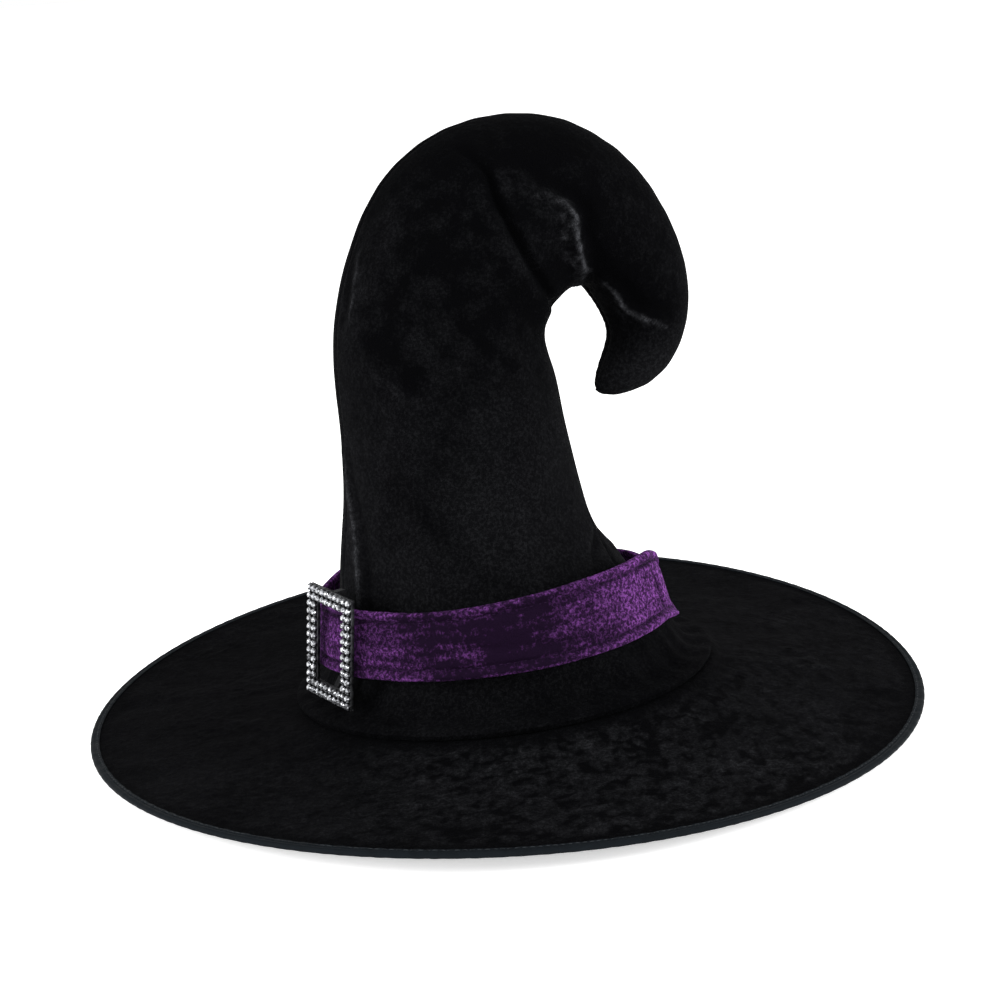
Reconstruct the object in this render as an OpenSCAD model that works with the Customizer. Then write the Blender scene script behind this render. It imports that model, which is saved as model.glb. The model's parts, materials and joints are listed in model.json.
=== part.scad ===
// Witch hat with a hooked, slouching crown, a wired brim, a loose hat band and a stone-set slide buckle.
// Millimetres. The origin is the centre of the rim on the plane that the hat lies on, +Z up.
// The crown's two seams lie in the crown's own X-Z plane and its tip hooks over towards +X.
// The crown, the band and the buckle share one leaning frame. Its origin is the middle of the head opening.

/* [Brim] */
// Radius of the brim over its binding
brim_r = 200; // [185:1:215]
// Thickness of the brim's velvet
brim_velvet_t = 0.9; // [0.8:0.1:1]
// Thickness of the brim's stiff core
brim_core_t = 1.3; // [1.2:0.1:1.5]
// Thickness of the cloth under the brim
brim_under_t = 0.6; // [0.5:0.1:0.7]
// Radius of the wire in the rim
wire_r = 0.8; // [0.6:0.1:0.8]
// Width of the binding tape on each side of the rim
binding_w = 6.5; // [6:0.5:8]

/* [Head opening] */
// Inner radius of the sweatband, for a head of 58 cm
head_r = 92.3; // [90:0.1:93]
// Thickness of the sweatband ribbon
sweatband_t = 1.5; // [1:0.1:1.6]
// Height of the brim's top face at the middle of the opening
seam_z = 12; // [12:0.5:16]

/* [Crown] */
// Backward lean of the crown on the brim, in degrees
crown_pitch = 4; // [0:0.5:4]
// Sideways lean of the crown on the brim, in degrees
crown_roll = 2.3; // [0:0.1:2.3]
// Thickness of the crown's velvet
crown_velvet_t = 1.0; // [0.8:0.1:1.0]
// Thickness of the crown's foam
crown_foam_t = 2.5; // [2:0.1:2.5]
// Thickness of the crown's lining
crown_lining_t = 0.5; // [0.4:0.1:0.5]
// Straight pieces round one half of the crown
crown_facets = 12; // [12:1:14]

/* [Hat band] */
// Height of the band
band_h = 35; // [30:1:36]
// Inner radius of the band at half its height
band_r = 82.5; // [82.5:0.1:83]
// Thickness of the band
band_t = 2.2; // [2:0.1:2.4]
// Slope of the band: growth in radius per millimetre downwards
band_slope = 0.14; // [0.12:0.01:0.15]
// Direction of the band's pressed corner, in degrees from the front
ear_angle = 67; // [55:1:75]
// Half of the arc that the pressed corner takes up, in degrees
ear_half = 14; // [10:1:18]

/* [Buckle] */
// Spacing of the stones
stone_pitch = 3.75; // [3.7:0.05:3.75]
// Columns of stones across the buckle
stone_cols = 10; // [10:2:10]
// Rows of stones up the buckle
stone_rows = 14; // [12:2:14]
// Rows of stones on each side of the buckle's frame
stone_rail = 2; // [1:1:2]
// Depth of the frame under the stones
frame_t = 1.8; // [1.6:0.1:2.2]
// Direction of the buckle's middle, in degrees from the front
buckle_angle = -72; // [-85:0.5:-60]
// Height of the buckle's middle above the band's middle
buckle_shift = -4.5; // [-4.5:0.5:-3.5]
// Turn of the buckle in its own plane, clockwise from outside
buckle_roll = 5; // [0:0.5:6]

/* [Hidden] */
$fn = 96;

// Colours
VELVET = "#111315";
LINING = "#1d1d20";
BINDING = "#2b3034";
PURPLE = "#4a2160";
PURPLE_THREAD = "#6a3a86";
SILVER = "#c9ccd0";
STONE = "#e9edf2";

// Crown stations from the brim seam to the tip, in the crown's own frame.
// Each one: x and z at the back of the hook, x and z at its inner side, and half the depth across.
STATIONS = [
    [-98.9, 0.3, 98.9, 0.3, 98.9],
    [-100.2, 2.2, 100.2, 2.2, 100.2],
    [-98.9, 4.1, 98.9, 4.1, 98.9],
    [-91.5, 5.8, 91.5, 5.8, 91.5],
    [-86.5, 8, 86.5, 8, 86.5],
    [-83, 13, 83, 13, 83],
    [-79.5, 20, 79.5, 20, 79.5],
    [-76.8, 27, 75.5, 27, 76],
    [-74.5, 40, 67.5, 40, 71],
    [-72.5, 53, 60.5, 53, 66.5],
    [-70.5, 66, 53.5, 63, 62],
    [-68.2, 78, 49.5, 74, 58.8],
    [-65.5, 92, 47.0, 88, 56],
    [-63.5, 108, 45.0, 103, 54],
    [-62.0, 127, 43.0, 122, 52],
    [-61.4, 146, 41.5, 140, 51],
    [-60.5, 162, 39.5, 152, 49.5],
    [-58, 178, 38.8, 160, 48],
    [-53.5, 194, 39.8, 166, 47],
    [-46, 212, 43, 171, 46],
    [-35, 231, 47.5, 175, 45],
    [-19, 248, 52, 178, 43.5],
    [3, 259.5, 56, 180, 42],
    [30, 263.5, 59.5, 180, 40],
    [57, 259, 62.5, 178, 37.5],
    [79, 246, 65.5, 174, 34.5],
    [95, 228.5, 68.5, 168.5, 31],
    [106, 207, 71, 162.5, 27.5],
    [112, 186, 72.5, 157, 24.5],
    [113, 167, 72.3, 151.5, 21.5],
    [109, 149.5, 70, 146, 19],
    [100, 135.5, 67, 140.5, 16.5],
    [88, 127, 64.5, 135.5, 12.5],
    [74, 124, 62.8, 131, 7],
    [67, 125, 63, 128.5, 3]
];
TIP = len(STATIONS) - 1;
SHELL_END = TIP - 2;            // the foam and the lining stop short of the sewn-up point
STUFFING_START = 17;
STUFFING_END = TIP - 3;
STUFFING_GAP = 0.5;
SEAM_SKIP = 5;                  // crown seam stitches start above the puffed base
SEAM_STITCH_R = 0.4;
SEAM_STITCH_L = 5;
crown_wall = crown_velvet_t + crown_foam_t + crown_lining_t;

// Brim section
OPENING_GAP = 0.5;
opening_r = head_r + sweatband_t + OPENING_GAP;
BRIM_SHOULDER_R = 100.5;
BRIM_SHOULDER_DROP = 0.3;
BRIM_FACETS = 60;
RIM_LIFT = 0.5;                 // the layers' underside at the rim, above the plane that the hat lies on
stack_t = brim_velvet_t + brim_core_t + brim_under_t;
stack_r = brim_r - 3.4;
rim_top = RIM_LIFT + stack_t;
wire_ring_r = brim_r - 2;
wire_z = 1.9;
FERRULE_WALL = 0.45;
FERRULE_ARC = 6;
WIRE_GAP_ARC = 1;
BINDING_T = 0.55;
RIM_ROUND = 1.5;
CAVITY_CLEAR = 0.05;
CAVITY_END = 0.3;               // the binding's pocket runs on past the ends of the layers
BINDING_STITCHES = 150;
BINDING_STITCH_L = 4;
BINDING_STITCH_R = 0.35;
BINDING_STITCH_INSET = 1.3;

// Sweatband
SWEATBAND_LOW = -4;
SWEATBAND_HIGH = 3.4;
SWEATBAND_STITCHES = 72;
SWEATBAND_STITCH_Z = -1.55;
SWEATBAND_STITCH_L = 2.8;
SWEATBAND_STITCH_IN = 0.5;      // how far each stitch reaches into the sweatband
JOIN_STITCHES = 72;
JOIN_STITCH_R = 0.4;
JOIN_STITCH_LOW = -2;
JOIN_STITCH_HIGH = 2.6;
JOIN_RING_R = 96.8;

// Hat band, in its own frame: middle of the band, axis along the crown's
BAND_X = -3;
BAND_Z = 42;
BAND_FACETS = 72;
BAND_SKIN = 0.7;
BAND_SLIT = 1;
BAND_HEM = 1;
TOPSTITCH_INSET = 5;
TOPSTITCHES = 66;
TOPSTITCH_L = 5;
TOPSTITCH_R = 0.35;
TOPSTITCH_SINK = 0.1;
LAP_ANGLE = 180;
LAP_STITCHES = 9;
LAP_STITCH_R = 0.4;

// Buckle, in the band's frame
frame_r = band_r + 4.4;
FRAME_SLOPE = 0.12;
FRAME_INSET = 0.1;
CUP_H = 0.8;
CUP_R = 1.8;
STONE_R = 1.6;
STONE_TABLE_R = 0.85;
STONE_H = 1.15;
GIRDLE_H = 0.35;
BAR_W = 4;
BAR_T = 1.2;
BAR_CLEAR = 0.5;
BAR_EDGE = 0.9;
BAR_LEG = 2;
stone_fn = 16;
half_w = stone_cols * stone_pitch / 2 - FRAME_INSET;
half_h = stone_rows * stone_pitch / 2 - FRAME_INSET;
open_w = (stone_cols / 2 - stone_rail) * stone_pitch + FRAME_INSET;
open_h = (stone_rows / 2 - stone_rail) * stone_pitch + FRAME_INSET;
frame_lean = atan(FRAME_SLOPE);

// ---------- shared geometry ----------

// A point of the crown's frame, in the hat's frame.
function pitched(p) = [
    p.x,
    p.y * cos(crown_pitch) + p.z * sin(crown_pitch),
    p.z * cos(crown_pitch) - p.y * sin(crown_pitch)
];
function rolled(p) = [
    p.x * cos(crown_roll) - p.z * sin(crown_roll),
    p.y,
    p.x * sin(crown_roll) + p.z * cos(crown_roll) + seam_z
];
function crown_point(p) = rolled(pitched(p));

module in_crown() {
    translate([0, 0, seam_z])
        rotate([-crown_pitch, -crown_roll, 0])
            children();
}

module in_band() {
    in_crown()
        translate([BAND_X, 0, BAND_Z])
            children();
}

// A solid through a list of closed sections with equal counts of points.
// With loop = true the last section joins the first; otherwise both ends are closed flat.
// From point back_from on, the triangles lie as on the front of the layer behind, so the layers meet exactly.
module loft(sections, loop = false, back_from = 1e6) {
    n = len(sections[0]);
    rows = len(sections);
    spans = loop ? rows : rows - 1;
    points = [for (s = sections) for (p = s) p];
    sides = [
        for (i = [0:spans - 1])
            for (j = [0:n - 1])
                let (
                    a = i * n + j,
                    b = i * n + (j + 1) % n,
                    c = ((i + 1) % rows) * n + (j + 1) % n,
                    d = ((i + 1) % rows) * n + j
                )
                each j < back_from ? [[a, b, c], [a, c, d]] : [[a, b, d], [b, c, d]]
    ];
    ends = loop ? [] : [
        [for (j = [0:n - 1]) n - 1 - j],
        [for (j = [0:n - 1]) (rows - 1) * n + j]
    ];
    polyhedron(points = points, faces = concat(sides, ends), convexity = 10);
}

// ---------- crown ----------

// A point on station s, moved inwards by t. Angle 0 is the hook's inner side, 180 its back.
function station_point(s, t, a) =
    let (
        back = [s[0], 0, s[1]],
        inner = [s[2], 0, s[3]],
        middle = (back + inner) / 2,
        half = norm(inner - back) / 2,
        along = (inner - back) / (2 * half)
    )
    middle + along * (half - t) * cos(a) + [0, -(s[4] - t) * sin(a), 0];

// Half of a station's wall between depths t0 and t1, as one closed section.
function wall_section(s, t0, t1) = concat(
    [for (k = [0:crown_facets]) station_point(s, t0, 180 * k / crown_facets)],
    [for (k = [0:crown_facets]) station_point(s, t1, 180 - 180 * k / crown_facets)]
);

module crown_wall_half(t0, t1, last) {
    loft([for (i = [0:last]) wall_section(STATIONS[i], t0, t1)], back_from = crown_facets + 1);
}

module near_half(t0, t1, last) {
    in_crown()
        crown_wall_half(t0, t1, last);
}

module far_half(t0, t1, last) {
    in_crown()
        mirror([0, 1, 0])
            crown_wall_half(t0, t1, last);
}

module crown_near_panel() {
    color(VELVET)
        near_half(0, crown_velvet_t, TIP);
}

module crown_far_panel() {
    color(VELVET)
        far_half(0, crown_velvet_t, TIP);
}

module crown_near_foam() {
    color("dimgray")
        near_half(crown_velvet_t, crown_velvet_t + crown_foam_t, SHELL_END);
}

module crown_far_foam() {
    color("dimgray")
        far_half(crown_velvet_t, crown_velvet_t + crown_foam_t, SHELL_END);
}

module crown_near_lining() {
    color(LINING)
        near_half(crown_velvet_t + crown_foam_t, crown_wall, SHELL_END);
}

module crown_far_lining() {
    color(LINING)
        far_half(crown_velvet_t + crown_foam_t, crown_wall, SHELL_END);
}

// Stitches that cross both crown seams inside the foam, one at each station and one between.
module crown_seam_stitching() {
    depth = crown_velvet_t + crown_foam_t / 2;
    color(VELVET)
        in_crown()
            for (i = [SEAM_SKIP:SHELL_END - 1])
                for (side = [0, 180])
                    for (f = [0, 0.5])
                        translate(
                            station_point(STATIONS[i], depth, side) * (1 - f)
                            + station_point(STATIONS[i + 1], depth, side) * f
                        )
                            rotate([90, 0, 0])
                                cylinder(r = SEAM_STITCH_R, h = SEAM_STITCH_L, center = true, $fn = 16);
}

module tip_stuffing() {
    n = 2 * crown_facets;
    t = crown_wall + STUFFING_GAP;
    color("ivory")
        in_crown()
            loft([
                for (i = [STUFFING_START:STUFFING_END])
                    [for (k = [0:n - 1]) station_point(STATIONS[i], t, 360 * k / n)]
            ]);
}

// ---------- brim ----------

// The brim's section at angle a, between depths d0 and d1 below its top face.
function brim_section(a, d0, d1) =
    let (
        way = [cos(a), sin(a), 0],
        edge = crown_point(way * opening_r),
        shoulder = crown_point(way * BRIM_SHOULDER_R - [0, 0, BRIM_SHOULDER_DROP]),
        rim = way * stack_r + [0, 0, rim_top],
        down0 = [0, 0, d0],
        down1 = [0, 0, d1]
    )
    [edge - down0, shoulder - down0, rim - down0, rim - down1, shoulder - down1, edge - down1];

module brim_layer(d0, d1) {
    sections = [for (k = [0:BRIM_FACETS - 1]) brim_section(-360 * k / BRIM_FACETS, d0, d1)];
    loft(sections, loop = true, back_from = len(sections[0]) / 2);
}

module brim_top_velvet() {
    color(VELVET)
        brim_layer(0, brim_velvet_t);
}

module brim_core() {
    color("darkslategray")
        brim_layer(brim_velvet_t, brim_velvet_t + brim_core_t);
}

module brim_under_fabric() {
    color(LINING)
        brim_layer(brim_velvet_t + brim_core_t, stack_t);
}

module brim_wire() {
    color("silver")
        rotate([0, 0, WIRE_GAP_ARC / 2])
            rotate_extrude(angle = 360 - WIRE_GAP_ARC)
                translate([wire_ring_r, wire_z])
                    circle(r = wire_r, $fn = 32);
}

module wire_ferrule() {
    color("gray")
        rotate([0, 0, -FERRULE_ARC / 2])
            rotate_extrude(angle = FERRULE_ARC)
                translate([wire_ring_r, wire_z])
                    difference() {
                        circle(r = wire_r + FERRULE_WALL, $fn = 32);
                        circle(r = wire_r, $fn = 32);
                    }
}

// The steepest slope of the brim's top, where the leaning crown stands highest over the rim.
crown_lean = acos(cos(crown_pitch) * cos(crown_roll));
steepest = (seam_z + BRIM_SHOULDER_R * sin(crown_lean) - rim_top) / (stack_r - BRIM_SHOULDER_R);

// Roof of the binding's pocket at radius r, and the top of the binding over it.
function pocket_roof(r) = rim_top + CAVITY_CLEAR + steepest * max(0, stack_r - r);
function binding_top(r) = pocket_roof(r) + BINDING_T;

module brim_binding() {
    inner = brim_r - binding_w;
    pocket_end = stack_r + CAVITY_END;
    pocket_floor = RIM_LIFT - CAVITY_CLEAR;
    outline = [
        [inner, 0], [brim_r - RIM_ROUND, 0], [brim_r - 0.4, 0.5], [brim_r, 1.4], [brim_r, 2.6],
        [brim_r - 0.4, 3.4], [brim_r - RIM_ROUND, binding_top(brim_r)], [stack_r, binding_top(stack_r)],
        [inner, binding_top(inner)]
    ];
    pocket = [
        [inner - 1, pocket_floor], [pocket_end, pocket_floor], [pocket_end, pocket_roof(pocket_end)],
        [stack_r, pocket_roof(stack_r)], [inner - 1, pocket_roof(inner - 1)]
    ];
    color(BINDING)
        rotate_extrude()
            difference() {
                polygon(outline);
                polygon(pocket);
                translate([wire_ring_r, wire_z])
                    circle(r = wire_r + FERRULE_WALL, $fn = 32);
            }
}

module binding_stitching() {
    r = brim_r - binding_w + BINDING_STITCH_INSET;
    color("dimgray")
        for (k = [0:BINDING_STITCHES - 1])
            rotate([0, 0, 360 * k / BINDING_STITCHES])
                translate([r, 0, binding_top(r)])
                    rotate([90, 0, 0])
                        cylinder(r = BINDING_STITCH_R, h = BINDING_STITCH_L, center = true, $fn = 16);
}

module crown_brim_stitching() {
    color(VELVET)
        in_crown()
            for (k = [0:JOIN_STITCHES - 1])
                rotate([0, 0, 360 * k / JOIN_STITCHES])
                    translate([JOIN_RING_R, 0, JOIN_STITCH_LOW])
                        cylinder(r = JOIN_STITCH_R, h = JOIN_STITCH_HIGH - JOIN_STITCH_LOW, $fn = 16);
}

// ---------- head opening ----------

module sweatband() {
    color(LINING)
        in_crown()
            translate([0, 0, SWEATBAND_LOW])
                difference() {
                    cylinder(r = head_r + sweatband_t, h = SWEATBAND_HIGH - SWEATBAND_LOW);
                    translate([0, 0, -1])
                        cylinder(r = head_r, h = SWEATBAND_HIGH - SWEATBAND_LOW + 2);
                }
}

module sweatband_stitching() {
    color("dimgray")
        in_crown()
            for (k = [0:SWEATBAND_STITCHES - 1])
                rotate([0, 0, 360 * (k + 0.5) / SWEATBAND_STITCHES])
                    translate([head_r + sweatband_t - SWEATBAND_STITCH_IN, 0, SWEATBAND_STITCH_Z])
                        rotate([0, 90, 0])
                            cylinder(r = JOIN_STITCH_R, h = SWEATBAND_STITCH_L, $fn = 16);
}

// ---------- hat band ----------

// The band's plan: a circle, but tangent lines that meet in the pressed corner.
// Angles count from the front (-Y) towards +X.
function ear_offset(a) = (a - ear_angle + 540) % 360 - 180;
function ear_distance(a) = abs(ear_offset(a));
function band_stretch(a) = ear_distance(a) < ear_half ? 1 / cos(ear_half - ear_distance(a)) : 1;
// The direction that the band faces: its own angle, or its tangent line's inside the corner.
function band_facing(a) = ear_distance(a) < ear_half ? ear_angle + sign(ear_offset(a)) * ear_half : a;
function band_inner(a, z) = (band_r - band_slope * z) * band_stretch(a);
function band_point(a, depth, z) =
    let (r = band_inner(a, z) + depth)
    [r * sin(a), -r * cos(a), z];

// Sleeve folded round the interfacing; its two hems meet at the slit on the inner side.
function sleeve_section(a) =
    let (
        h = band_h / 2,
        pocket = h - BAND_HEM,
        inside = BAND_SKIN,
        outside = band_t - BAND_SKIN
    )
    [for (q = [
        [0, BAND_SLIT / 2], [inside, BAND_SLIT / 2], [inside, pocket], [outside, pocket],
        [outside, -pocket], [inside, -pocket], [inside, -BAND_SLIT / 2], [0, -BAND_SLIT / 2],
        [0, -h], [band_t, -h], [band_t, h], [0, h]
    ]) band_point(a, q[0], q[1])];

function stiffener_section(a) =
    let (pocket = band_h / 2 - BAND_HEM)
    [for (q = [
        [BAND_SKIN, -pocket], [band_t - BAND_SKIN, -pocket], [band_t - BAND_SKIN, pocket], [BAND_SKIN, pocket]
    ]) band_point(a, q[0], q[1])];

module hatband() {
    color(PURPLE)
        in_band()
            loft([for (k = [0:BAND_FACETS - 1]) sleeve_section(ear_angle + 360 * k / BAND_FACETS)],
                loop = true);
}

module hatband_interfacing() {
    color("white")
        in_band()
            loft([for (k = [0:BAND_FACETS - 1]) stiffener_section(ear_angle + 360 * k / BAND_FACETS)],
                loop = true);
}

module topstitch_row(z) {
    for (k = [0:TOPSTITCHES - 1])
        let (a = ear_angle + 360 * (k + 0.5) / TOPSTITCHES)
            translate(band_point(a, band_t - TOPSTITCH_SINK, z))
                rotate([0, 0, band_facing(a)])
                    rotate([0, 90, 0])
                        cylinder(r = TOPSTITCH_R, h = TOPSTITCH_L, center = true, $fn = 16);
}

module hatband_upper_stitching() {
    color(PURPLE_THREAD)
        in_band()
            topstitch_row(band_h / 2 - TOPSTITCH_INSET);
}

module hatband_lower_stitching() {
    color(PURPLE_THREAD)
        in_band()
            topstitch_row(TOPSTITCH_INSET - band_h / 2);
}

module hatband_lap_stitching() {
    step = (band_h - 2 * TOPSTITCH_INSET) / (LAP_STITCHES + 1);
    color(PURPLE_THREAD)
        in_band()
            for (k = [1:LAP_STITCHES])
                let (z = TOPSTITCH_INSET - band_h / 2 + k * step)
                    translate(band_point(LAP_ANGLE, 0, z))
                        rotate([0, 0, LAP_ANGLE])
                            rotate([90, 0, 0])
                                cylinder(r = LAP_STITCH_R, h = band_t, $fn = 16);
}

// ---------- buckle ----------

function frame_inner(z) = frame_r - FRAME_SLOPE * z;

// The children in the frame's own axes: origin in its middle on the inner face, -Y outwards, +Z up.
module in_frame() {
    in_band()
        rotate([0, 0, buckle_angle])
            translate([0, -frame_r, 0])
                rotate([-frame_lean, 0, 0])
                    translate([0, 0, buckle_shift])
                        rotate([0, buckle_roll, 0])
                            children();
}

module buckle_frame() {
    cut = 1;
    color(SILVER)
        in_frame()
            difference() {
                translate([-half_w, -frame_t, -half_h])
                    cube([2 * half_w, frame_t, 2 * half_h]);
                translate([-open_w, -frame_t - cut, -open_h])
                    cube([2 * open_w, frame_t + 2 * cut, 2 * open_h]);
            }
}

// A post behind the band with a leg over its top edge and a leg under its bottom edge.
module buckle_bar() {
    edge = band_h / 2 + BAR_EDGE;
    low = buckle_shift - open_h - BAR_LEG / 2;
    front = function (z) band_r - band_slope * z - BAR_CLEAR;
    back = function (z) front(z) - BAR_T;
    color(SILVER)
        in_band()
            rotate([0, 0, buckle_angle - 90])
                rotate([90, 0, 0])
                    linear_extrude(height = BAR_W, center = true)
                        polygon([
                            [frame_inner(edge), edge], [front(edge), edge],
                            [front(-edge), -edge], [frame_inner(low), low],
                            [frame_inner(low - BAR_LEG), low - BAR_LEG], [back(-edge - 1), -edge - 1],
                            [back(edge + BAR_LEG), edge + BAR_LEG],
                            [frame_inner(edge + BAR_LEG), edge + BAR_LEG]
                        ]);
}

// The children on every seat of the frame's front, standing outwards.
module on_every_seat() {
    for (c = [0:stone_cols - 1])
        for (r = [0:stone_rows - 1])
            if (c < stone_rail || c >= stone_cols - stone_rail
                || r < stone_rail || r >= stone_rows - stone_rail)
                translate([
                    (c - (stone_cols - 1) / 2) * stone_pitch,
                    -frame_t,
                    (r - (stone_rows - 1) / 2) * stone_pitch
                ])
                    rotate([90, 0, 0])
                        children();
}

module stone_settings() {
    color(SILVER)
        in_frame()
            on_every_seat()
                cylinder(r = CUP_R, h = CUP_H, $fn = stone_fn);
}

module rhinestones() {
    color(STONE)
        in_frame()
            on_every_seat()
                translate([0, 0, CUP_H]) {
                    cylinder(r = STONE_R, h = GIRDLE_H, $fn = stone_fn);
                    translate([0, 0, GIRDLE_H])
                        cylinder(r1 = STONE_R, r2 = STONE_TABLE_R, h = STONE_H - GIRDLE_H, $fn = stone_fn);
                }
}

crown_near_panel();
crown_far_panel();
crown_near_foam();
crown_far_foam();
crown_near_lining();
crown_far_lining();
crown_seam_stitching();
tip_stuffing();
brim_top_velvet();
brim_core();
brim_under_fabric();
brim_wire();
wire_ferrule();
brim_binding();
binding_stitching();
crown_brim_stitching();
sweatband();
sweatband_stitching();
hatband();
hatband_interfacing();
hatband_upper_stitching();
hatband_lower_stitching();
hatband_lap_stitching();
buckle_frame();
buckle_bar();
stone_settings();
rhinestones();
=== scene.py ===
"""Witch hat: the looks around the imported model. Lengths are millimetres until a mesh is made."""

import json
import math

import bpy
import numpy as np
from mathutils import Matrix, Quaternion, Vector, noise


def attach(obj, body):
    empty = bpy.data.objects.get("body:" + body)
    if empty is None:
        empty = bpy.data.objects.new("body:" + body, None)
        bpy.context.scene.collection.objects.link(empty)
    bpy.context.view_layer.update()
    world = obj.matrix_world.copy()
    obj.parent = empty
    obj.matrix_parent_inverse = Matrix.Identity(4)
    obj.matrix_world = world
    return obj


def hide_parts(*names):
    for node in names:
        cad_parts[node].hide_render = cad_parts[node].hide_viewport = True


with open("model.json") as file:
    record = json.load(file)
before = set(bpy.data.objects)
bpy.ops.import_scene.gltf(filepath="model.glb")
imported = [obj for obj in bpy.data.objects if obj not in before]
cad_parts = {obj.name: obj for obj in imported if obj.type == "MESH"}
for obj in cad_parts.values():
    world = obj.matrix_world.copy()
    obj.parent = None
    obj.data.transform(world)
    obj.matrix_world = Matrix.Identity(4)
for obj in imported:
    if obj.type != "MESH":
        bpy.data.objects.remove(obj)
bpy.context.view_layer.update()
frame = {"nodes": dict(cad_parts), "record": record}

MM = 0.001

# ---------- camera, floor and light ----------

CAMERA_AZIMUTH = -16.0
CAMERA_ELEVATION = 16.49
CAMERA_ROLL = -4.01
CAMERA_DISTANCE = 1227.7
CAMERA_TARGET = (3.94, -1.13, 97.4)
LENS = 93.41
FLOOR_Z = -3.9
FLOOR_R = 4000.0
AIM_OF_LIGHTS = (0, 0, 0.1)  # metres, as are the places of the lights below


def add_camera():
    azimuth = math.radians(CAMERA_AZIMUTH)
    elevation = math.radians(CAMERA_ELEVATION)
    back = Vector((
        math.sin(azimuth) * math.cos(elevation),
        -math.cos(azimuth) * math.cos(elevation),
        math.sin(elevation),
    ))
    data = bpy.data.cameras.new("camera")
    data.sensor_width = 36
    data.lens = LENS
    camera = bpy.data.objects.new("camera", data)
    camera.rotation_mode = "QUATERNION"
    camera.location = (Vector(CAMERA_TARGET) + back * CAMERA_DISTANCE) * MM
    level = (-back).to_track_quat("-Z", "Y")
    camera.rotation_quaternion = level @ Quaternion((0, 0, 1), math.radians(CAMERA_ROLL))
    bpy.context.scene.collection.objects.link(camera)
    bpy.context.scene.camera = camera


def add_light(name, place, size, watts):
    data = bpy.data.lights.new(name, "AREA")
    data.shape = "DISK"
    data.size = size
    data.energy = watts
    light = bpy.data.objects.new(name, data)
    light.location = place
    light.rotation_mode = "QUATERNION"
    light.rotation_quaternion = (Vector(AIM_OF_LIGHTS) - Vector(place)).to_track_quat("-Z", "Y")
    bpy.context.scene.collection.objects.link(light)


def add_studio():
    world = bpy.data.worlds.new("studio")
    world.use_nodes = True
    world.node_tree.nodes["Background"].inputs["Color"].default_value = (1, 1, 1, 1)
    world.node_tree.nodes["Background"].inputs["Strength"].default_value = 1.0
    bpy.context.scene.world = world
    bpy.context.scene.view_settings.view_transform = "Standard"
    add_light("left_softbox", (-1.7, -0.1, 0.7), 0.8, 26)
    add_light("right_softbox", (1.5, -0.9, 0.7), 0.8, 26)
    add_light("front_softbox", (-0.5, -2.2, 0.7), 1.0, 24)
    add_light("top_softbox", (0.2, 0.3, 1.8), 0.9, 5)

    bpy.ops.mesh.primitive_circle_add(
        vertices=96, radius=FLOOR_R * MM, fill_type="NGON", location=(0, 0, FLOOR_Z * MM))
    floor = bpy.context.object
    floor.name = "floor"
    material = bpy.data.materials.new("pale_floor")
    material.use_nodes = True
    shader = material.node_tree.nodes["Principled BSDF"]
    shader.inputs["Base Color"].default_value = (0.90, 0.90, 0.90, 1)
    shader.inputs["Emission Color"].default_value = (1, 1, 1, 1)
    shader.inputs["Emission Strength"].default_value = 0.45
    shader.inputs["Roughness"].default_value = 0.9
    shader.inputs["Specular IOR Level"].default_value = 0.1
    floor.data.materials.append(material)


# ---------- materials ----------


class Nodes:
    """A material's node tree, with one short call for each kind of node."""

    def __init__(self, name):
        self.material = bpy.data.materials.new(name)
        self.material.use_nodes = True
        self.tree = self.material.node_tree
        self.shader = self.tree.nodes["Principled BSDF"]
        self.place = self.tree.nodes.new("ShaderNodeTexCoord").outputs["Object"]

    def feed(self, socket, value):
        """Links the socket to the value if that is another socket, or else sets it."""
        if isinstance(value, bpy.types.NodeSocket):
            self.tree.links.new(value, socket)
        else:
            socket.default_value = value

    def add(self, kind, inputs=(), **settings):
        node = self.tree.nodes.new("ShaderNode" + kind)
        for key, value in settings.items():
            setattr(node, key, value)
        for key, value in dict(inputs).items():
            self.feed(node.inputs[key], value)
        return node

    def noise(self, size, detail=3.0, rough=0.5, distortion=0.0, place=None):
        """Noise with features about `size` mm across, from 0 to 1."""
        node = self.add("TexNoise", {
            "Vector": place or self.place, "Scale": 1 / (size * MM), "Detail": detail,
            "Roughness": rough, "Distortion": distortion,
        })
        return node.outputs["Fac"]

    def spread(self, value, low, high, out_low=0.0, out_high=1.0):
        node = self.add("MapRange", {
            "Value": value, "From Min": low, "From Max": high, "To Min": out_low, "To Max": out_high,
        }, interpolation_type="SMOOTHSTEP")
        return node.outputs["Result"]

    def math(self, operation, a, b=0.0):
        return self.add("Math", {0: a, 1: b}, operation=operation).outputs[0]

    def mix(self, factor, a, b):
        """Colour a where the factor is 0, colour b where it is 1."""
        return self.add("Mix", {0: factor, 6: a, 7: b}, data_type="RGBA").outputs[2]

    def rough(self, value, low, high):
        self.set(Roughness=self.spread(value, 0.3, 0.7, low, high))

    def bump(self, height, distance_mm, strength=1.0, below=None):
        inputs = {"Height": height, "Distance": distance_mm * MM, "Strength": strength}
        if below is not None:
            inputs["Normal"] = below
        return self.add("Bump", inputs).outputs["Normal"]

    def set(self, **inputs):
        for key, value in inputs.items():
            self.feed(self.shader.inputs[key.replace("_", " ")], value)


def rgb(red, green, blue):
    return (red, green, blue, 1.0)


DARKEST_PILE = 0.006
WAVE_SCALE = 0.157  # a wave texture of this scale, over a length in metres, has one band in that length


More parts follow.
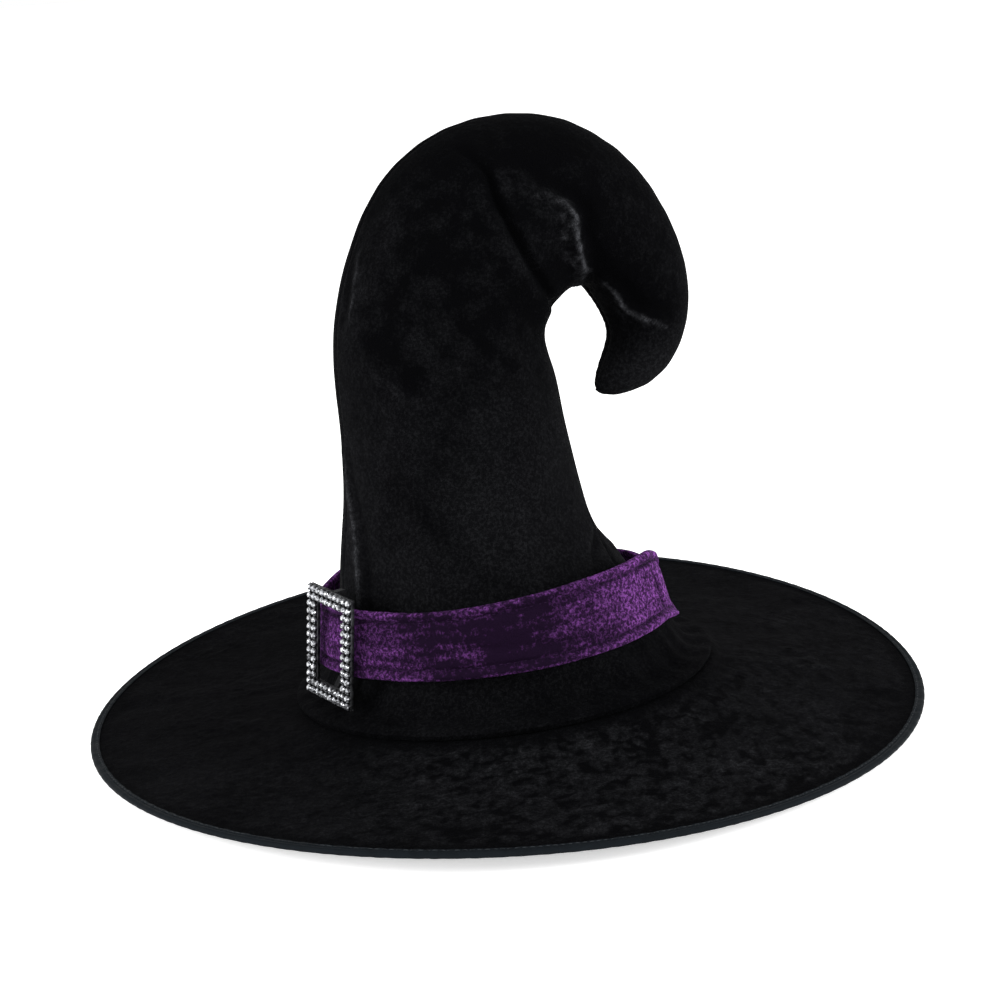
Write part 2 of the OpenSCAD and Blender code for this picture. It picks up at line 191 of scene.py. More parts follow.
def crushed_velvet(name, shaded_colour, lit, sheen, sheen_tint, specular, evenness, crush, grain):
    """Pile fabric, mixed from a shaded to a lit colour by painted light and shade from a mesh attribute."""
    n = Nodes(name)
    # The mesh attribute: painted highlight up to 1 where the pile should look lit, painted shade below 0.
    tone_and_painted_light = n.add("Attribute", attribute_name="tone_and_painted_light").outputs["Fac"]
    patches = n.spread(n.noise(22, 4, 0.6, 0.9), 0.36, 0.68)
    crumple = n.spread(n.noise(4.5, 5, 0.7, 0.7), 0.42, 0.66)
    flecks = n.spread(n.noise(1.5, 4, 0.75, 0.3), 0.40, 0.66)
    fibres = n.noise(0.45, 2, 0.7)
    mottle = n.math("ADD", n.math("MULTIPLY", patches, 0.35), n.math("MULTIPLY", crumple, 0.40))
    mottle = n.math("ADD", mottle, n.math("MULTIPLY", flecks, 0.25))
    # Painted light and shade on top of the crushed mottle give the share of the lit colour.
    lit_share = n.math("ADD", n.math("ADD", evenness, n.math("MULTIPLY", mottle, crush)), tone_and_painted_light)
    lit_share = n.math("MULTIPLY", lit_share, n.spread(flecks, 0.0, 1.0, 1 - grain, 1 + grain))
    lit_share = n.math("MULTIPLY", n.math("MAXIMUM", lit_share, DARKEST_PILE), n.spread(fibres, 0.25, 0.75, 0.55, 1.45))
    lit_share = n.math("MINIMUM", lit_share, 1.0)
    # Painted light: the base colour runs from the shaded colour to the lit one.
    n.set(Base_Color=n.mix(lit_share, shaded_colour, lit))
    n.set(Roughness=n.spread(lit_share, 0.0, 1.0, 0.95, 0.72))
    n.set(Normal=n.bump(fibres, 0.2, 0.5, n.bump(crumple, 0.45, 0.6, n.bump(patches, 0.8, 0.4))))
    n.set(Sheen_Weight=sheen, Sheen_Roughness=0.3, Sheen_Tint=sheen_tint, Specular_IOR_Level=specular)
    return n.material


def woven(name, dark, light, thread_mm, specular=0.2, rough=0.8):
    """Plain woven cloth with soft variation."""
    n = Nodes(name)
    mapped = n.add("Mapping", {"Vector": n.place, "Rotation": (0.6, 0.5, 0.785)}).outputs["Vector"]
    wave = {"Vector": mapped, "Scale": WAVE_SCALE / (thread_mm * MM), "Distortion": 0.6}
    weave = n.math("MULTIPLY", *(n.add("TexWave", wave, bands_direction=way).outputs["Fac"] for way in "XY"))
    cloud = n.noise(9, 4, 0.6)
    tone = n.math("ADD", n.math("MULTIPLY", weave, 0.5), n.math("MULTIPLY", cloud, 0.5))
    n.set(Base_Color=n.mix(tone, dark, light), Normal=n.bump(weave, 0.12, 0.7))
    n.rough(cloud, rough - 0.08, rough + 0.08)
    n.set(Specular_IOR_Level=specular, Sheen_Weight=0.02, Sheen_Roughness=0.5)
    return n.material


def satin_tape():
    n = Nodes("satin_tape")
    threads = n.noise(0.35, 2, 0.5)
    pull = n.noise(7, 3, 0.5, 0.8)
    n.set(Base_Color=n.mix(pull, rgb(0.0018, 0.0026, 0.0034), rgb(0.0052, 0.0070, 0.0090)))
    n.set(Normal=n.bump(threads, 0.1, 0.5, n.bump(pull, 0.5, 0.5)))
    n.set(Specular_IOR_Level=0.035)
    n.rough(pull, 0.55, 0.70)
    return n.material


def thread(name, dark, light):
    n = Nodes(name)
    wave = {"Vector": n.place, "Scale": 260.0, "Distortion": 1.5}
    ply = n.add("TexWave", wave, bands_direction="DIAGONAL").outputs["Fac"]
    n.set(Base_Color=n.mix(ply, dark, light), Normal=n.bump(ply, 0.08, 0.8))
    n.set(Specular_IOR_Level=0.05)
    n.rough(n.noise(1.2), 0.45, 0.65)
    return n.material


def fibrous(name, dark, light, depth=0.5, cells=False):
    """Felt, wadding or foam: a matted, matte surface."""
    n = Nodes(name)
    mat = n.noise(1.1, 5, 0.7, 1.5)
    cloud = n.noise(14, 4, 0.55)
    height = n.add("TexVoronoi", {"Vector": n.place, "Scale": 900.0}).outputs["Distance"] if cells else mat
    n.set(Base_Color=n.mix(n.math("MULTIPLY", n.math("ADD", mat, cloud), 0.5), dark, light))
    n.set(Normal=n.bump(height, depth, 0.8), Specular_IOR_Level=0.15)
    n.rough(mat, 0.85, 0.98)
    return n.material


def plated(name, dull, bright, low_rough, high_rough, metallic=1.0):
    """Silvered or bare plastic, or steel, with rubbed patches and fine scratches."""
    n = Nodes(name)
    rub = n.noise(3.5, 4, 0.6, 0.5)
    scratch = n.add("Mapping", {"Vector": n.place, "Scale": (1, 1, 12)}).outputs["Vector"]
    fine = n.noise(0.8, 3, 0.6, 0.0, scratch)
    n.set(Base_Color=n.mix(n.spread(rub, 0.35, 0.7), dull, bright), Metallic=metallic)
    n.set(Normal=n.bump(fine, 0.04, 0.5), Specular_IOR_Level=0.5 if metallic else 0.08)
    n.rough(fine, low_rough, high_rough)
    return n.material


def foiled_stone():
    """A clear stone with a mirror foil behind: it reads as bright facets with grey depths."""
    n = Nodes("foiled_stone")
    depth = n.noise(1.3, 3, 0.6, 0.8)
    n.set(Base_Color=n.mix(n.spread(depth, 0.35, 0.65), rgb(0.030, 0.032, 0.036), rgb(0.52, 0.53, 0.56)))
    n.set(Normal=n.bump(n.noise(0.9), 0.02, 0.3), Metallic=0.75, Coat_Weight=0.8, Coat_Roughness=0.03)
    n.rough(n.noise(0.6), 0.03, 0.10)
    return n.material


RIBS = 520


def grosgrain():
    """Ribbed ribbon: the ribs stand across its length, here upright in the head opening."""
    n = Nodes("grosgrain")
    turns = n.add("TexGradient", {"Vector": n.place}, gradient_type="RADIAL").outputs["Fac"]
    ribs = n.math("SINE", n.math("MULTIPLY", turns, RIBS * 2 * math.pi))
    cloud = n.noise(8, 3)
    n.set(Base_Color=n.mix(cloud, rgb(0.010, 0.010, 0.012), rgb(0.030, 0.030, 0.034)))
    n.set(Normal=n.bump(ribs, 0.25, 0.8), Specular_IOR_Level=0.3)
    n.rough(cloud, 0.6, 0.75)
    return n.material


# The look of each of the record's material slots.
LOOKS = {
    # For the velvets, the first two colours are the shaded and the lit tone that painted light mixes between.
    "black_velvet": crushed_velvet("black_velvet", rgb(0.0006, 0.0006, 0.0008), rgb(0.0300, 0.0308, 0.0340),
        0.003, rgb(0.80, 0.90, 1.0), 0.012, 0.050, 0.065, 0.48),
    "purple_velvet": crushed_velvet("purple_velvet", rgb(0.0040, 0.0016, 0.0060), rgb(0.2500, 0.0700, 0.3500),
        0.012, rgb(0.75, 0.45, 1.0), 0.03, 0.05, 0.12, 0.80),
    "lining": woven("lining_cloth", rgb(0.004, 0.004, 0.005), rgb(0.014, 0.014, 0.017), 0.5, 0.06),
    "interfacing": woven("interfacing_cloth", rgb(0.45, 0.45, 0.43), rgb(0.75, 0.75, 0.72), 0.7),
    "binding_tape": satin_tape(),
    "ribbon": grosgrain(),
    "black_thread": thread("black_thread", rgb(0.006, 0.006, 0.007), rgb(0.022, 0.022, 0.025)),
    "binding_thread": thread("binding_thread", rgb(0.006, 0.007, 0.008), rgb(0.020, 0.023, 0.026)),
    "purple_thread": thread("purple_thread", rgb(0.004, 0.0014, 0.006), rgb(0.016, 0.006, 0.024)),
    "foam": fibrous("grey_foam", rgb(0.16, 0.16, 0.17), rgb(0.34, 0.34, 0.35), 0.3, cells=True),
    "wadding": fibrous("white_wadding", rgb(0.55, 0.53, 0.50), rgb(0.85, 0.84, 0.81), 1.2),
    "felt": fibrous("stiff_felt", rgb(0.02, 0.02, 0.023), rgb(0.07, 0.07, 0.08)),
    "wire": plated("drawn_steel", rgb(0.30, 0.30, 0.31), rgb(0.55, 0.55, 0.56), 0.25, 0.45),
    "silver_plastic": plated("silver_plastic", rgb(0.015, 0.015, 0.017), rgb(0.085, 0.087, 0.092),
        0.25, 0.45),
    "silver_foil": plated("silver_foil", rgb(0.020, 0.020, 0.022), rgb(0.140, 0.143, 0.150), 0.16, 0.34),
    "clear_stone": foiled_stone(),
}
# The buckle's bar is coloured near black, painted shade, so that it reads as shadow behind the band.
BAR_PAINTED_SHADE = plated("bar_painted_shade", rgb(0.002, 0.002, 0.0025), rgb(0.008, 0.008, 0.009), 0.5, 0.7, 0.0)


# ---------- shared geometry ----------

opening = next(m for m in frame["record"]["mounts"] if m["name"] == "head_opening")
CROWN_UP = -np.array(opening["axis"], float)
LEAN_BACK = math.asin(CROWN_UP[1])
LEAN_SIDE = math.atan2(-CROWN_UP[0], CROWN_UP[2])
SEAM_Z = 12.0
UP = np.array([0, 0, 1.0])


def rotated(a, b, angle):
    """Coordinates (a, b) turned by an angle in radians, from the b axis towards the a axis."""
    return a * math.cos(angle) + b * math.sin(angle), b * math.cos(angle) - a * math.sin(angle)


def to_hat(points):
    """Points of the crown's leaning frame, in the hat's frame."""
    x, y, z = np.moveaxis(np.asarray(points, float), -1, 0)
    y, z = rotated(y, z, LEAN_BACK)
    x, z = rotated(x, z, -LEAN_SIDE)
    return np.stack([x, y, z + SEAM_Z], -1)


def around(degrees):
    """Level directions at angles from +X towards +Y."""
    turn = np.radians(np.asarray(degrees, float))
    return np.stack([np.cos(turn), np.sin(turn), np.zeros_like(turn)], -1)


def evenly(count, shift=0.0):
    """Angles in degrees that share out a full turn, moved on by a part of a step."""
    return (np.arange(count) + shift) * 360 / count


def ramp(low, high, x):
    t = np.clip((np.asarray(x, float) - low) / (high - low), 0, 1)
    return t * t * (3 - 2 * t)


def bell(x, middle, width):
    return np.exp(-(((np.asarray(x, float) - middle) / width) ** 2))


def plateau(x, start, full, fading, end):
    """Rises from 0 to 1 between start and full, and falls to 0 again between fading and end."""
    return ramp(start, full, x) * (1 - ramp(fading, end, x))


def turned_from(a, b):
    """Signed angle from b to a, in degrees, from -180 to 180."""
    return (np.asarray(a, float) - b + 180) % 360 - 180


def near(angles, middle, width):
    """A bell round a direction, in degrees."""
    return bell(turned_from(angles, middle), 0, width)


def bumps(points, size, seed):
    """Smooth noise from about -1 to 1 with features `size` mm across, one value for each point."""
    flat = np.asarray(points, float).reshape(-1, 3) / size + 17.3 * seed
    return np.array([noise.noise(p) for p in flat]).reshape(np.asarray(points).shape[:-1])


def through(rows, u):
    """Catmull-Rom curve through the rows, at parameters u."""
    rows, u = np.asarray(rows, float), np.asarray(u, float)
    last = len(rows) - 1
    i = np.clip(np.floor(u).astype(int), 0, last - 1)
    f = (u - i)[:, None]
    p0, p1, p2, p3 = rows[np.maximum(i - 1, 0)], rows[i], rows[i + 1], rows[np.minimum(i + 2, last)]
    return 0.5 * (2 * p1 + (p2 - p0) * f + (2 * p0 - 5 * p1 + 4 * p2 - p3) * f**2
                  + (3 * p1 - p0 - 3 * p2 + p3) * f**3)


def unit(v):
    return v / np.maximum(np.linalg.norm(v, axis=-1, keepdims=True), 1e-12)


def grid_normals(grid, wrap=True):
    """Normals of a grid of points, pointing away from each row's middle."""
    down = np.gradient(grid, axis=0)
    across = (np.roll(grid, -1, 1) - np.roll(grid, 1, 1)) if wrap else np.gradient(grid, axis=1)
    normals = unit(np.cross(down, across))
    outwards = grid - grid.mean(1, keepdims=True)
    return normals if (normals * outwards).sum() > 0 else -normals


def add_piece(name, points, faces, body, slot, replaces=(), sharp=40.0, tone_and_painted_light=None):
    """A mesh piece from points in millimetres, smooth except over sharp edges."""
    mesh = bpy.data.meshes.new(name)
    mesh.from_pydata((np.asarray(points, float).reshape(-1, 3) * MM).tolist(), [], [list(f) for f in faces])
    mesh.validate()
    mesh.materials.append(LOOKS[slot])
    mesh.polygons.foreach_set("use_smooth", [True] * len(mesh.polygons))
    mesh.set_sharp_from_angle(angle=math.radians(sharp))
    # Painted light and shade of the pile, one value for each point.
    if tone_and_painted_light is not None:
        values = np.asarray(tone_and_painted_light, np.float32).ravel()
        mesh.attributes.new("tone_and_painted_light", "FLOAT", "POINT").data.foreach_set("value", values)
    piece = bpy.data.objects.new(name, mesh)
    bpy.context.scene.collection.objects.link(piece)
    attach(piece, body)
    if replaces:
        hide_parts(*replaces)
    return piece


def outward(points, faces):
    """The faces, turned so that the closed mesh has a positive volume."""
    p = np.asarray(points, float).reshape(-1, 3)
    f = np.array([(q[0], q[1], q[2]) for q in faces] + [(q[0], q[2], q[3]) for q in faces if len(q) == 4])
    volume = np.einsum("ij,ij->i", p[f[:, 0]], np.cross(p[f[:, 1]], p[f[:, 2]])).sum()
    return faces if volume > 0 else [tuple(reversed(q)) for q in faces]


def numbered(rows, cols):
    return np.arange(rows * cols).reshape(rows, cols)


def whole(faces):
    """The faces as tuples of plain whole numbers."""
    return [tuple(int(v) for v in face) for face in faces]


def quads(index, wrap):
    """Quads between neighbouring rows and columns of a grid of vertex numbers."""
    if wrap:
        index = np.concatenate([index, index[:, :1]], 1)
    return np.stack([index[:-1, :-1], index[:-1, 1:], index[1:, 1:], index[1:, :-1]], -1).reshape(-1, 4)


def tube_faces(rows, cols):
    """Faces of a tube of rings, with a cap over each end."""
    index = numbered(rows, cols)
    return whole(quads(index, True)) + whole([index[0][::-1], index[-1]])


def shell(outer, inner, wrap):
    """A closed skin between two grids of points with equal shapes."""
    index = numbered(*outer.shape[:2])
    far = index + index.size
    faces = [quads(index, wrap), quads(far, wrap)[:, ::-1]]
    for edge, other in ((index[0], far[0]), (far[-1], index[-1])):
        faces.append(quads(np.stack([other, edge]), wrap))
    if not wrap:
        for edge, other in ((far[:, 0], index[:, 0]), (index[:, -1], far[:, -1])):
            faces.append(quads(np.stack([other, edge]), False))
    points = np.concatenate([outer.reshape(-1, 3), inner.reshape(-1, 3)])
    return points, outward(points, whole(np.concatenate(faces)))


def ring_solid(sections):
    """A closed tube through sections (rows, points, 3) that join end to end."""
    index = numbered(*sections.shape[:2])
    points = sections.reshape(-1, 3)
    return points, outward(points, whole(quads(np.concatenate([index, index[:1]]), True)))


def copies(points, faces, origins, along, up):
    """A small solid repeated at each origin: its X axis points along, and its Z axis up."""
    along = unit(np.asarray(along, float))
    up = np.asarray(up, float)
    up = unit(up - (up * along).sum(-1, keepdims=True) * along)
    side = np.cross(up, along)
    p = np.asarray(points, float)
    placed = (np.asarray(origins, float)[:, None] + p[None, :, 0, None] * along[:, None]
              + p[None, :, 1, None] * side[:, None] + p[None, :, 2, None] * up[:, None])
    count = len(p)
    all_faces = [tuple(v + k * count for v in f) for k in range(len(placed)) for f in faces]
    return placed.reshape(-1, 3), all_faces


def stitch_shape(length, radius, arch, sides=8, rings=9):
    """One stitch: a thread that rises out of the cloth and dives back into it."""
    t = np.linspace(-1, 1, rings)
    fat = np.sqrt(np.clip(1 - np.abs(t) ** 5, 0.04, 1)) * radius
    x = t * length / 2
    z = arch * (1 - t**2) - arch * 0.5
    turn = np.arange(sides) * 2 * math.pi / sides
    rows = np.stack([
        np.repeat(x[:, None], sides, 1),
        fat[:, None] * np.cos(turn),
        z[:, None] + fat[:, None] * np.sin(turn),
    ], -1)
    return rows.reshape(-1, 3), tube_faces(rings, sides)


def add_stitches(name, node, size, places, along, up, body, slot):
    """A row of equal stitches in place of a node. The size is a stitch's length, thread radius and arch."""
    shape, faces = stitch_shape(*size)
    points, faces = copies(shape, faces, places, along, up)
    add_piece(name, points, faces, body, slot, (node,))


# ---------- crown ----------

# Crown stations from the brim seam to the tip, in the crown's own frame.
# Each one: x and z at the back of the hook, x and z at its inner side, and half the depth across.
STATIONS = [
    [-98.9, 0.3, 98.9, 0.3, 98.9], [-100.2, 2.2, 100.2, 2.2, 100.2], [-98.9, 4.1, 98.9, 4.1, 98.9],
    [-91.5, 5.8, 91.5, 5.8, 91.5], [-86.5, 8, 86.5, 8, 86.5], [-83, 13, 83, 13, 83],
    [-79.5, 20, 79.5, 20, 79.5], [-76.8, 27, 75.5, 27, 76], [-74.5, 40, 67.5, 40, 71],
    [-72.5, 53, 60.5, 53, 66.5], [-70.5, 66, 53.5, 63, 62], [-68.2, 78, 49.5, 74, 58.8],
    [-65.5, 92, 47, 88, 56], [-63.5, 108, 45, 103, 54], [-62, 127, 43, 122, 52],
    [-61.4, 146, 41.5, 140, 51], [-60.5, 162, 39.5, 152, 49.5], [-58, 178, 38.8, 160, 48],
    [-53.5, 194, 39.8, 166, 47], [-46, 212, 43, 171, 46], [-35, 231, 47.5, 175, 45],
    [-19, 248, 52, 178, 43.5], [3, 259.5, 56, 180, 42], [30, 263.5, 59.5, 180, 40],
    [57, 259, 62.5, 178, 37.5], [79, 246, 65.5, 174, 34.5], [95, 228.5, 68.5, 168.5, 31],
    [106, 207, 71, 162.5, 27.5], [112, 186, 72.5, 157, 24.5], [113, 167, 72.3, 151.5, 21.5],
    [109, 149.5, 70, 146, 19], [100, 135.5, 67, 140.5, 16.5], [88, 127, 64.5, 135.5, 12.5],
    [74, 124, 62.8, 131, 7], [67, 125, 63, 128.5, 3],
]
TIP = len(STATIONS) - 1
SHELL_END = TIP - 2
CROWN_RINGS = 300
CROWN_COLUMNS = 264
CAP_RINGS = 6
CAP_H = 1.3
WADDING_START = 17
SEAM_STITCH_STEP = 4.5
GATHERS = 31
VELVET_T = 1.0
FOAM_T = 2.5
LINING_T = 0.5


def crown_at(u, angles):
    """Crown surface (len(u), len(angles), 3) in the crown's frame. Angle 0 is the hook's inner side."""
    s = through(STATIONS, u)
    a = np.radians(angles)[None, :]
    middle_x, middle_z = (s[:, 0] + s[:, 2]) / 2, (s[:, 1] + s[:, 3]) / 2
    half_x, half_z = (s[:, 2] - s[:, 0]) / 2, (s[:, 3] - s[:, 1]) / 2
    return np.stack([
        middle_x[:, None] + half_x[:, None] * np.cos(a),
        -s[:, 4][:, None] * np.sin(a),
        middle_z[:, None] + half_z[:, None] * np.cos(a),
    ], -1)


def crown_ring_places():
    """Station numbers of the rings, evenly spaced along the crown."""
    dense = np.linspace(0, TIP, 1500)
    s = through(STATIONS, dense)
    back = np.hypot(*np.diff(s[:, 0:2], axis=0).T)
    inner = np.hypot(*np.diff(s[:, 2:4], axis=0).T)
    length = np.concatenate([[0], np.cumsum(0.6 * back + 0.4 * inner)])
    return np.interp(np.linspace(0, length[-1], CROWN_RINGS), length, dense)


# Folds of the velvet: station and angle of the points that each one passes through, the height and width of
# its ridge, the depth and width of its valley, how far apart the two lie (all in millimetres), how strong a
# highlight is painted along the ridge, and the share of the fold over which that painted highlight grows.
FOLDS = [
    ([(21.8, 150), (21.8, 126), (21.4, 108), (21.1, 93), (20.5, 72), (19.3, 34), (19.1, 17)],
     3.0, 9, 5.4, 2.6, 6, 0.03, 0.1),
    ([(22.4, 112), (23.0, 100), (23.3, 94), (23.5, 84), (23.3, 66), (23.5, 48), (24.1, 39)],
     2.6, 4, 3.2, 4.5, 6, 1.30, 0.75),
    ([(22.9, 52), (23.1, 39), (23.4, 10), (23.6, -14)], 1.4, 4, 1.6, 3, 5, 0.20, 0.2),
    ([(24.4, 40), (26.1, 46), (27.2, 50), (28.1, 64), (29.4, 104)], 1.8, 3, 1.6, 4, 5, 0.75, 0.2),
    ([(22.2, 128), (22.6, 118), (22.8, 108)], 1.0, 6, 1.0, 4, 6, 0.06, 0.5),
    ([(11.4, 27), (10.6, 26), (9.9, 42), (9.1, 52)], 0.5, 5, 1.6, 2.2, 4, 0.05, 0.3),
    ([(10.4, 20), (9.9, 27), (8.9, 34), (8.4, 26)], 0.6, 4, 1.0, 2.2, 4, 0.05, 0.3),
    ([(12.9, 148), (12.3, 130), (11.3, 117), (10.2, 104)], 0.9, 6, 0.8, 5, 8, 0.03, 0.3),
    ([(17.2, 152), (15.9, 132), (15.3, 112)], 0.9, 7, 0.8, 6, 10, 0.05, 0.3),
    ([(17.0, 168), (17.9, 165), (19.1, 171)], 0.4, 3, 0.6, 3, 5, 0.35, 0.4),
    ([(14.0, 178), (13.0, 174), (11.3, 163), (9.3, 160), (8.2, 160)], 0.9, 5, 1.4, 4, 7, 0.55, 0.3),
    ([(21.9, 214), (21.5, 250), (20.6, 290), (19.4, 332)], 2.8, 8, 4.2, 3.0, 6, 0.04, 0.1),
    ([(23.4, 262), (23.6, 290), (23.5, 322)], 2.4, 4.5, 2.4, 3.6, 6, 0.50, 0.6),
    ([(24.6, 322), (26.4, 314), (28.3, 292)], 1.8, 3.5, 1.4, 4, 5, 0.40, 0.3),
    ([(13.2, 214), (12.2, 232), (11.2, 246)], 1.2, 7, 0.7, 5, 9, 0.05, 0.3),
    ([(10.8, 328), (9.8, 316), (9.0, 306)], 0.8, 5, 1.4, 2.4, 5, 0.05, 0.3),
]


def fold_field(points, normals, folds):
    """What the folds give at every point: lift along the normal in millimetres, and painted highlight and
    shade.
    """
    flat, ways = points.reshape(-1, 3), normals.reshape(-1, 3)
    lift, painted_shine = np.zeros(len(flat)), np.zeros(len(flat))
    for path, ridge, ridge_w, valley, valley_w, apart, highlight_strength, grows in folds:
        knots = through(path, np.linspace(0, len(path) - 1, 14 * len(path)))
        line = np.array([crown_at([u], [a])[0, 0] for u, a in knots])
        step = unit(np.gradient(line, axis=0))
        reach = 3 * max(ridge_w, valley_w) + apart
        within = np.where((flat > line.min(0) - reach).all(1) & (flat < line.max(0) + reach).all(1))[0]
        gap = flat[within, None] - line[None]
        closest = np.linalg.norm(gap, axis=-1).argmin(1)
        arm = gap[np.arange(len(within)), closest]
        side = np.cross(step[closest], ways[within])
        away = np.linalg.norm(arm, axis=1) * np.sign((arm * side).sum(1))
        wander = 0.9 * bumps(flat[within], 7, 21) + 0.4 * bumps(flat[within], 3.2, 33)
        share = closest / (len(line) - 1)
        ends = np.sin(np.pi * np.clip(share, 0.001, 0.999)) ** 0.55
        crest, foot = bell(away, apart / 2, ridge_w), bell(away, -apart / 2, valley_w)
        lift[within] += ends * (ridge * crest - valley * foot)
        # Painted highlight along the crest, a fainter painted glow beside it, and painted shade in the
        # valley.
        edge = bell(away + wander, apart / 2, 0.30 * ridge_w) * (0.7 + 0.9 * bumps(flat[within], 4, 34))
        threads = np.clip(bumps(flat[within], 4.5, 39) + 0.6 * bumps(flat[within], 2.4, 40), 0, 1)
        halo = bell(away + wander, apart / 2 + 0.6 * ridge_w, 1.3 * ridge_w) * (0.06 + 0.8 * threads)
        painted_shine[within] += highlight_strength * ends * (edge * ramp(0, grows, share) + 0.5 * halo) - 0.04 * ends * foot
    return lift.reshape(points.shape[:-1]), painted_shine.reshape(points.shape[:-1])


def build_wadding(u, lining, normals):
    """The stuffing of the hook: it fills the lining and is rounded at both ends."""
    rows = np.where((u >= WADDING_START) & (u <= SHELL_END - 1))[0][::3]
    body = lining[rows][:, ::3] - normals[rows][:, ::3] * 0.6
    body = body - normals[rows][:, ::3] * np.clip(bumps(body, 14, 24), 0, 1)[..., None] * 0.9
    ends = []
    for ring, behind, height in ((body[0], body[1], 14.0), (body[-1], body[-2], 5.0)):
        middle = ring.mean(0)
        ahead = unit(middle - behind.mean(0))
        ends.append([middle + (ring - middle) * math.cos(t) + ahead * height * math.sin(t)
                     for t in np.radians(np.linspace(12, 88, 9))])
    rings = np.concatenate([np.array(ends[0][::-1]), body, np.array(ends[1])])
    points = to_hat(rings)
    faces = outward(points, tube_faces(*rings.shape[:2]))
    piece = add_piece("hook_wadding", points, faces, "hat", "wadding", ("tip_stuffing",))


def build_seam_stitches(u, depth_grid, normals):
    """Threads across both crown seams, inside the foam."""
    origins, across, out = [], [], []
    for column in (0, CROWN_COLUMNS // 2):
        line = depth_grid[:, column]
        path = np.concatenate([[0], np.cumsum(np.linalg.norm(np.diff(line[:len(u)], axis=0), axis=1))])
        first, last = np.interp([5, SHELL_END - 0.5], u, path)
        for place in np.arange(first, last, SEAM_STITCH_STEP):
            row = int(np.searchsorted(path, place))
            origins.append(line[row])
            across.append(depth_grid[row, (column + 1) % CROWN_COLUMNS] - depth_grid[row, column - 1])
            out.append(normals[row, column])
    origin = to_hat(np.zeros(3))
    add_stitches("crown_seam_stitch_row", "crown_seam_stitching", (4.4, 0.3, 0.15),
                 to_hat(np.array(origins)), to_hat(np.array(across)) - origin, to_hat(np.array(out)) - origin,
                 "hat", "black_thread")


def crown_base():
    """The crown without folds: stations of its rings, of its rings and cap, angles, points and normals."""
    u = crown_ring_places()
    angles = evenly(CROWN_COLUMNS)
    base = crown_at(u, angles)
    centre = base[-1].mean(0)
    ahead = unit(centre - base[-3].mean(0))
    for k in range(1, CAP_RINGS + 1):
        lift = math.radians(89 * k / CAP_RINGS)
        ring = centre + (base[CROWN_RINGS - 1] - centre) * math.cos(lift) + ahead * CAP_H * math.sin(lift)
        base = np.concatenate([base, ring[None]])
    stations = np.concatenate([u, np.full(CAP_RINGS, float(TIP))])[:, None]
    droop = near(angles, 12, 42) * plateau(stations, 1.0, 3.4, 5.5, 9)
    out = unit((base - base.mean(1, keepdims=True)) * np.array([1, 1, 0]))
    base = base + droop[..., None] * (out * 1.6 - UP * 1.8)
    middles = np.concatenate([base[:len(u)].mean(1, keepdims=True), np.tile(centre, (CAP_RINGS, 1, 1))])
    at_tip = ramp(SHELL_END - 0.5, TIP - 0.6, stations)[..., None]
    normals = unit(grid_normals(base) * (1 - at_tip) + unit(base - middles) * at_tip)
    return u, stations, angles, base, normals


def crown_tone_and_painted_light(tone_and_painted_light, base, stations, angles):
    """Painted light on the crown: fold highlights, random patches, painted shade on turns, a lighter tip."""
    tone_and_painted_light += 0.035 * bumps(base, 60, 22) + 0.03 * bumps(base, 24, 23) + 0.015 * bumps(base, 9, 35)
    # Painted shade at the base and over the upper crown; painted light in the middle and at the tip.
    tone_and_painted_light -= 0.045 * (1 - ramp(4, 8, stations)) + 0.052 * ramp(12, 19, stations)
    tone_and_painted_light += 0.02 * bell(stations, 9.5, 3.5) + 0.13 * ramp(28, 32, stations)
    seen = near(angles, 105, 60)
    tone_and_painted_light += seen * plateau(stations, 13, 17, 22, 25) * 0.05 * bumps(base, 8, 43)
    # Painted shade on the top-left turn and beside the pleat, and a painted highlight just below it.
    tone_and_painted_light -= 0.030 * bell(stations, 20, 2.5) * near(angles, 175, 35)
    tone_and_painted_light -= seen * 0.05 * bell(stations, 21.5, 1.6) * near(angles, 150, 25)
    tone_and_painted_light += 0.05 * bell(stations, 19.5, 1.8) * near(angles, 150, 22)
    return tone_and_painted_light


def crown_lift(lift, base, stations, angles):
    """How far the velvet stands off the plain crown: folds, soft waves, gathers at the brim, two seams."""
    lift += 0.30 * bumps(base, 34, 1) + 0.14 * bumps(base, 15, 2)
    gathers = np.sin(np.radians(angles * GATHERS) + 3 * bumps(base, 40, 3))
    lift += 0.55 * gathers * plateau(stations, 1.0, 3.2, 4.5, 8)
    lift *= ramp(0.0, 3.0, stations) * (1 - 0.8 * ramp(SHELL_END, TIP, stations))
    pucker = 1 + 0.5 * np.sin(2 * math.pi * np.arange(len(base))[:, None] / 6.5)
    sewn = plateau(stations, 1.5, 4, TIP - 2, TIP - 0.7)
    for column in (0, CROWN_COLUMNS // 2):
        away = np.linalg.norm(base - base[:, column:column + 1], axis=-1)
        lift += sewn * (0.22 * bell(away, 4.2, 2.4) * pucker - 0.70 * bell(away, 0, 1.2))
    return lift


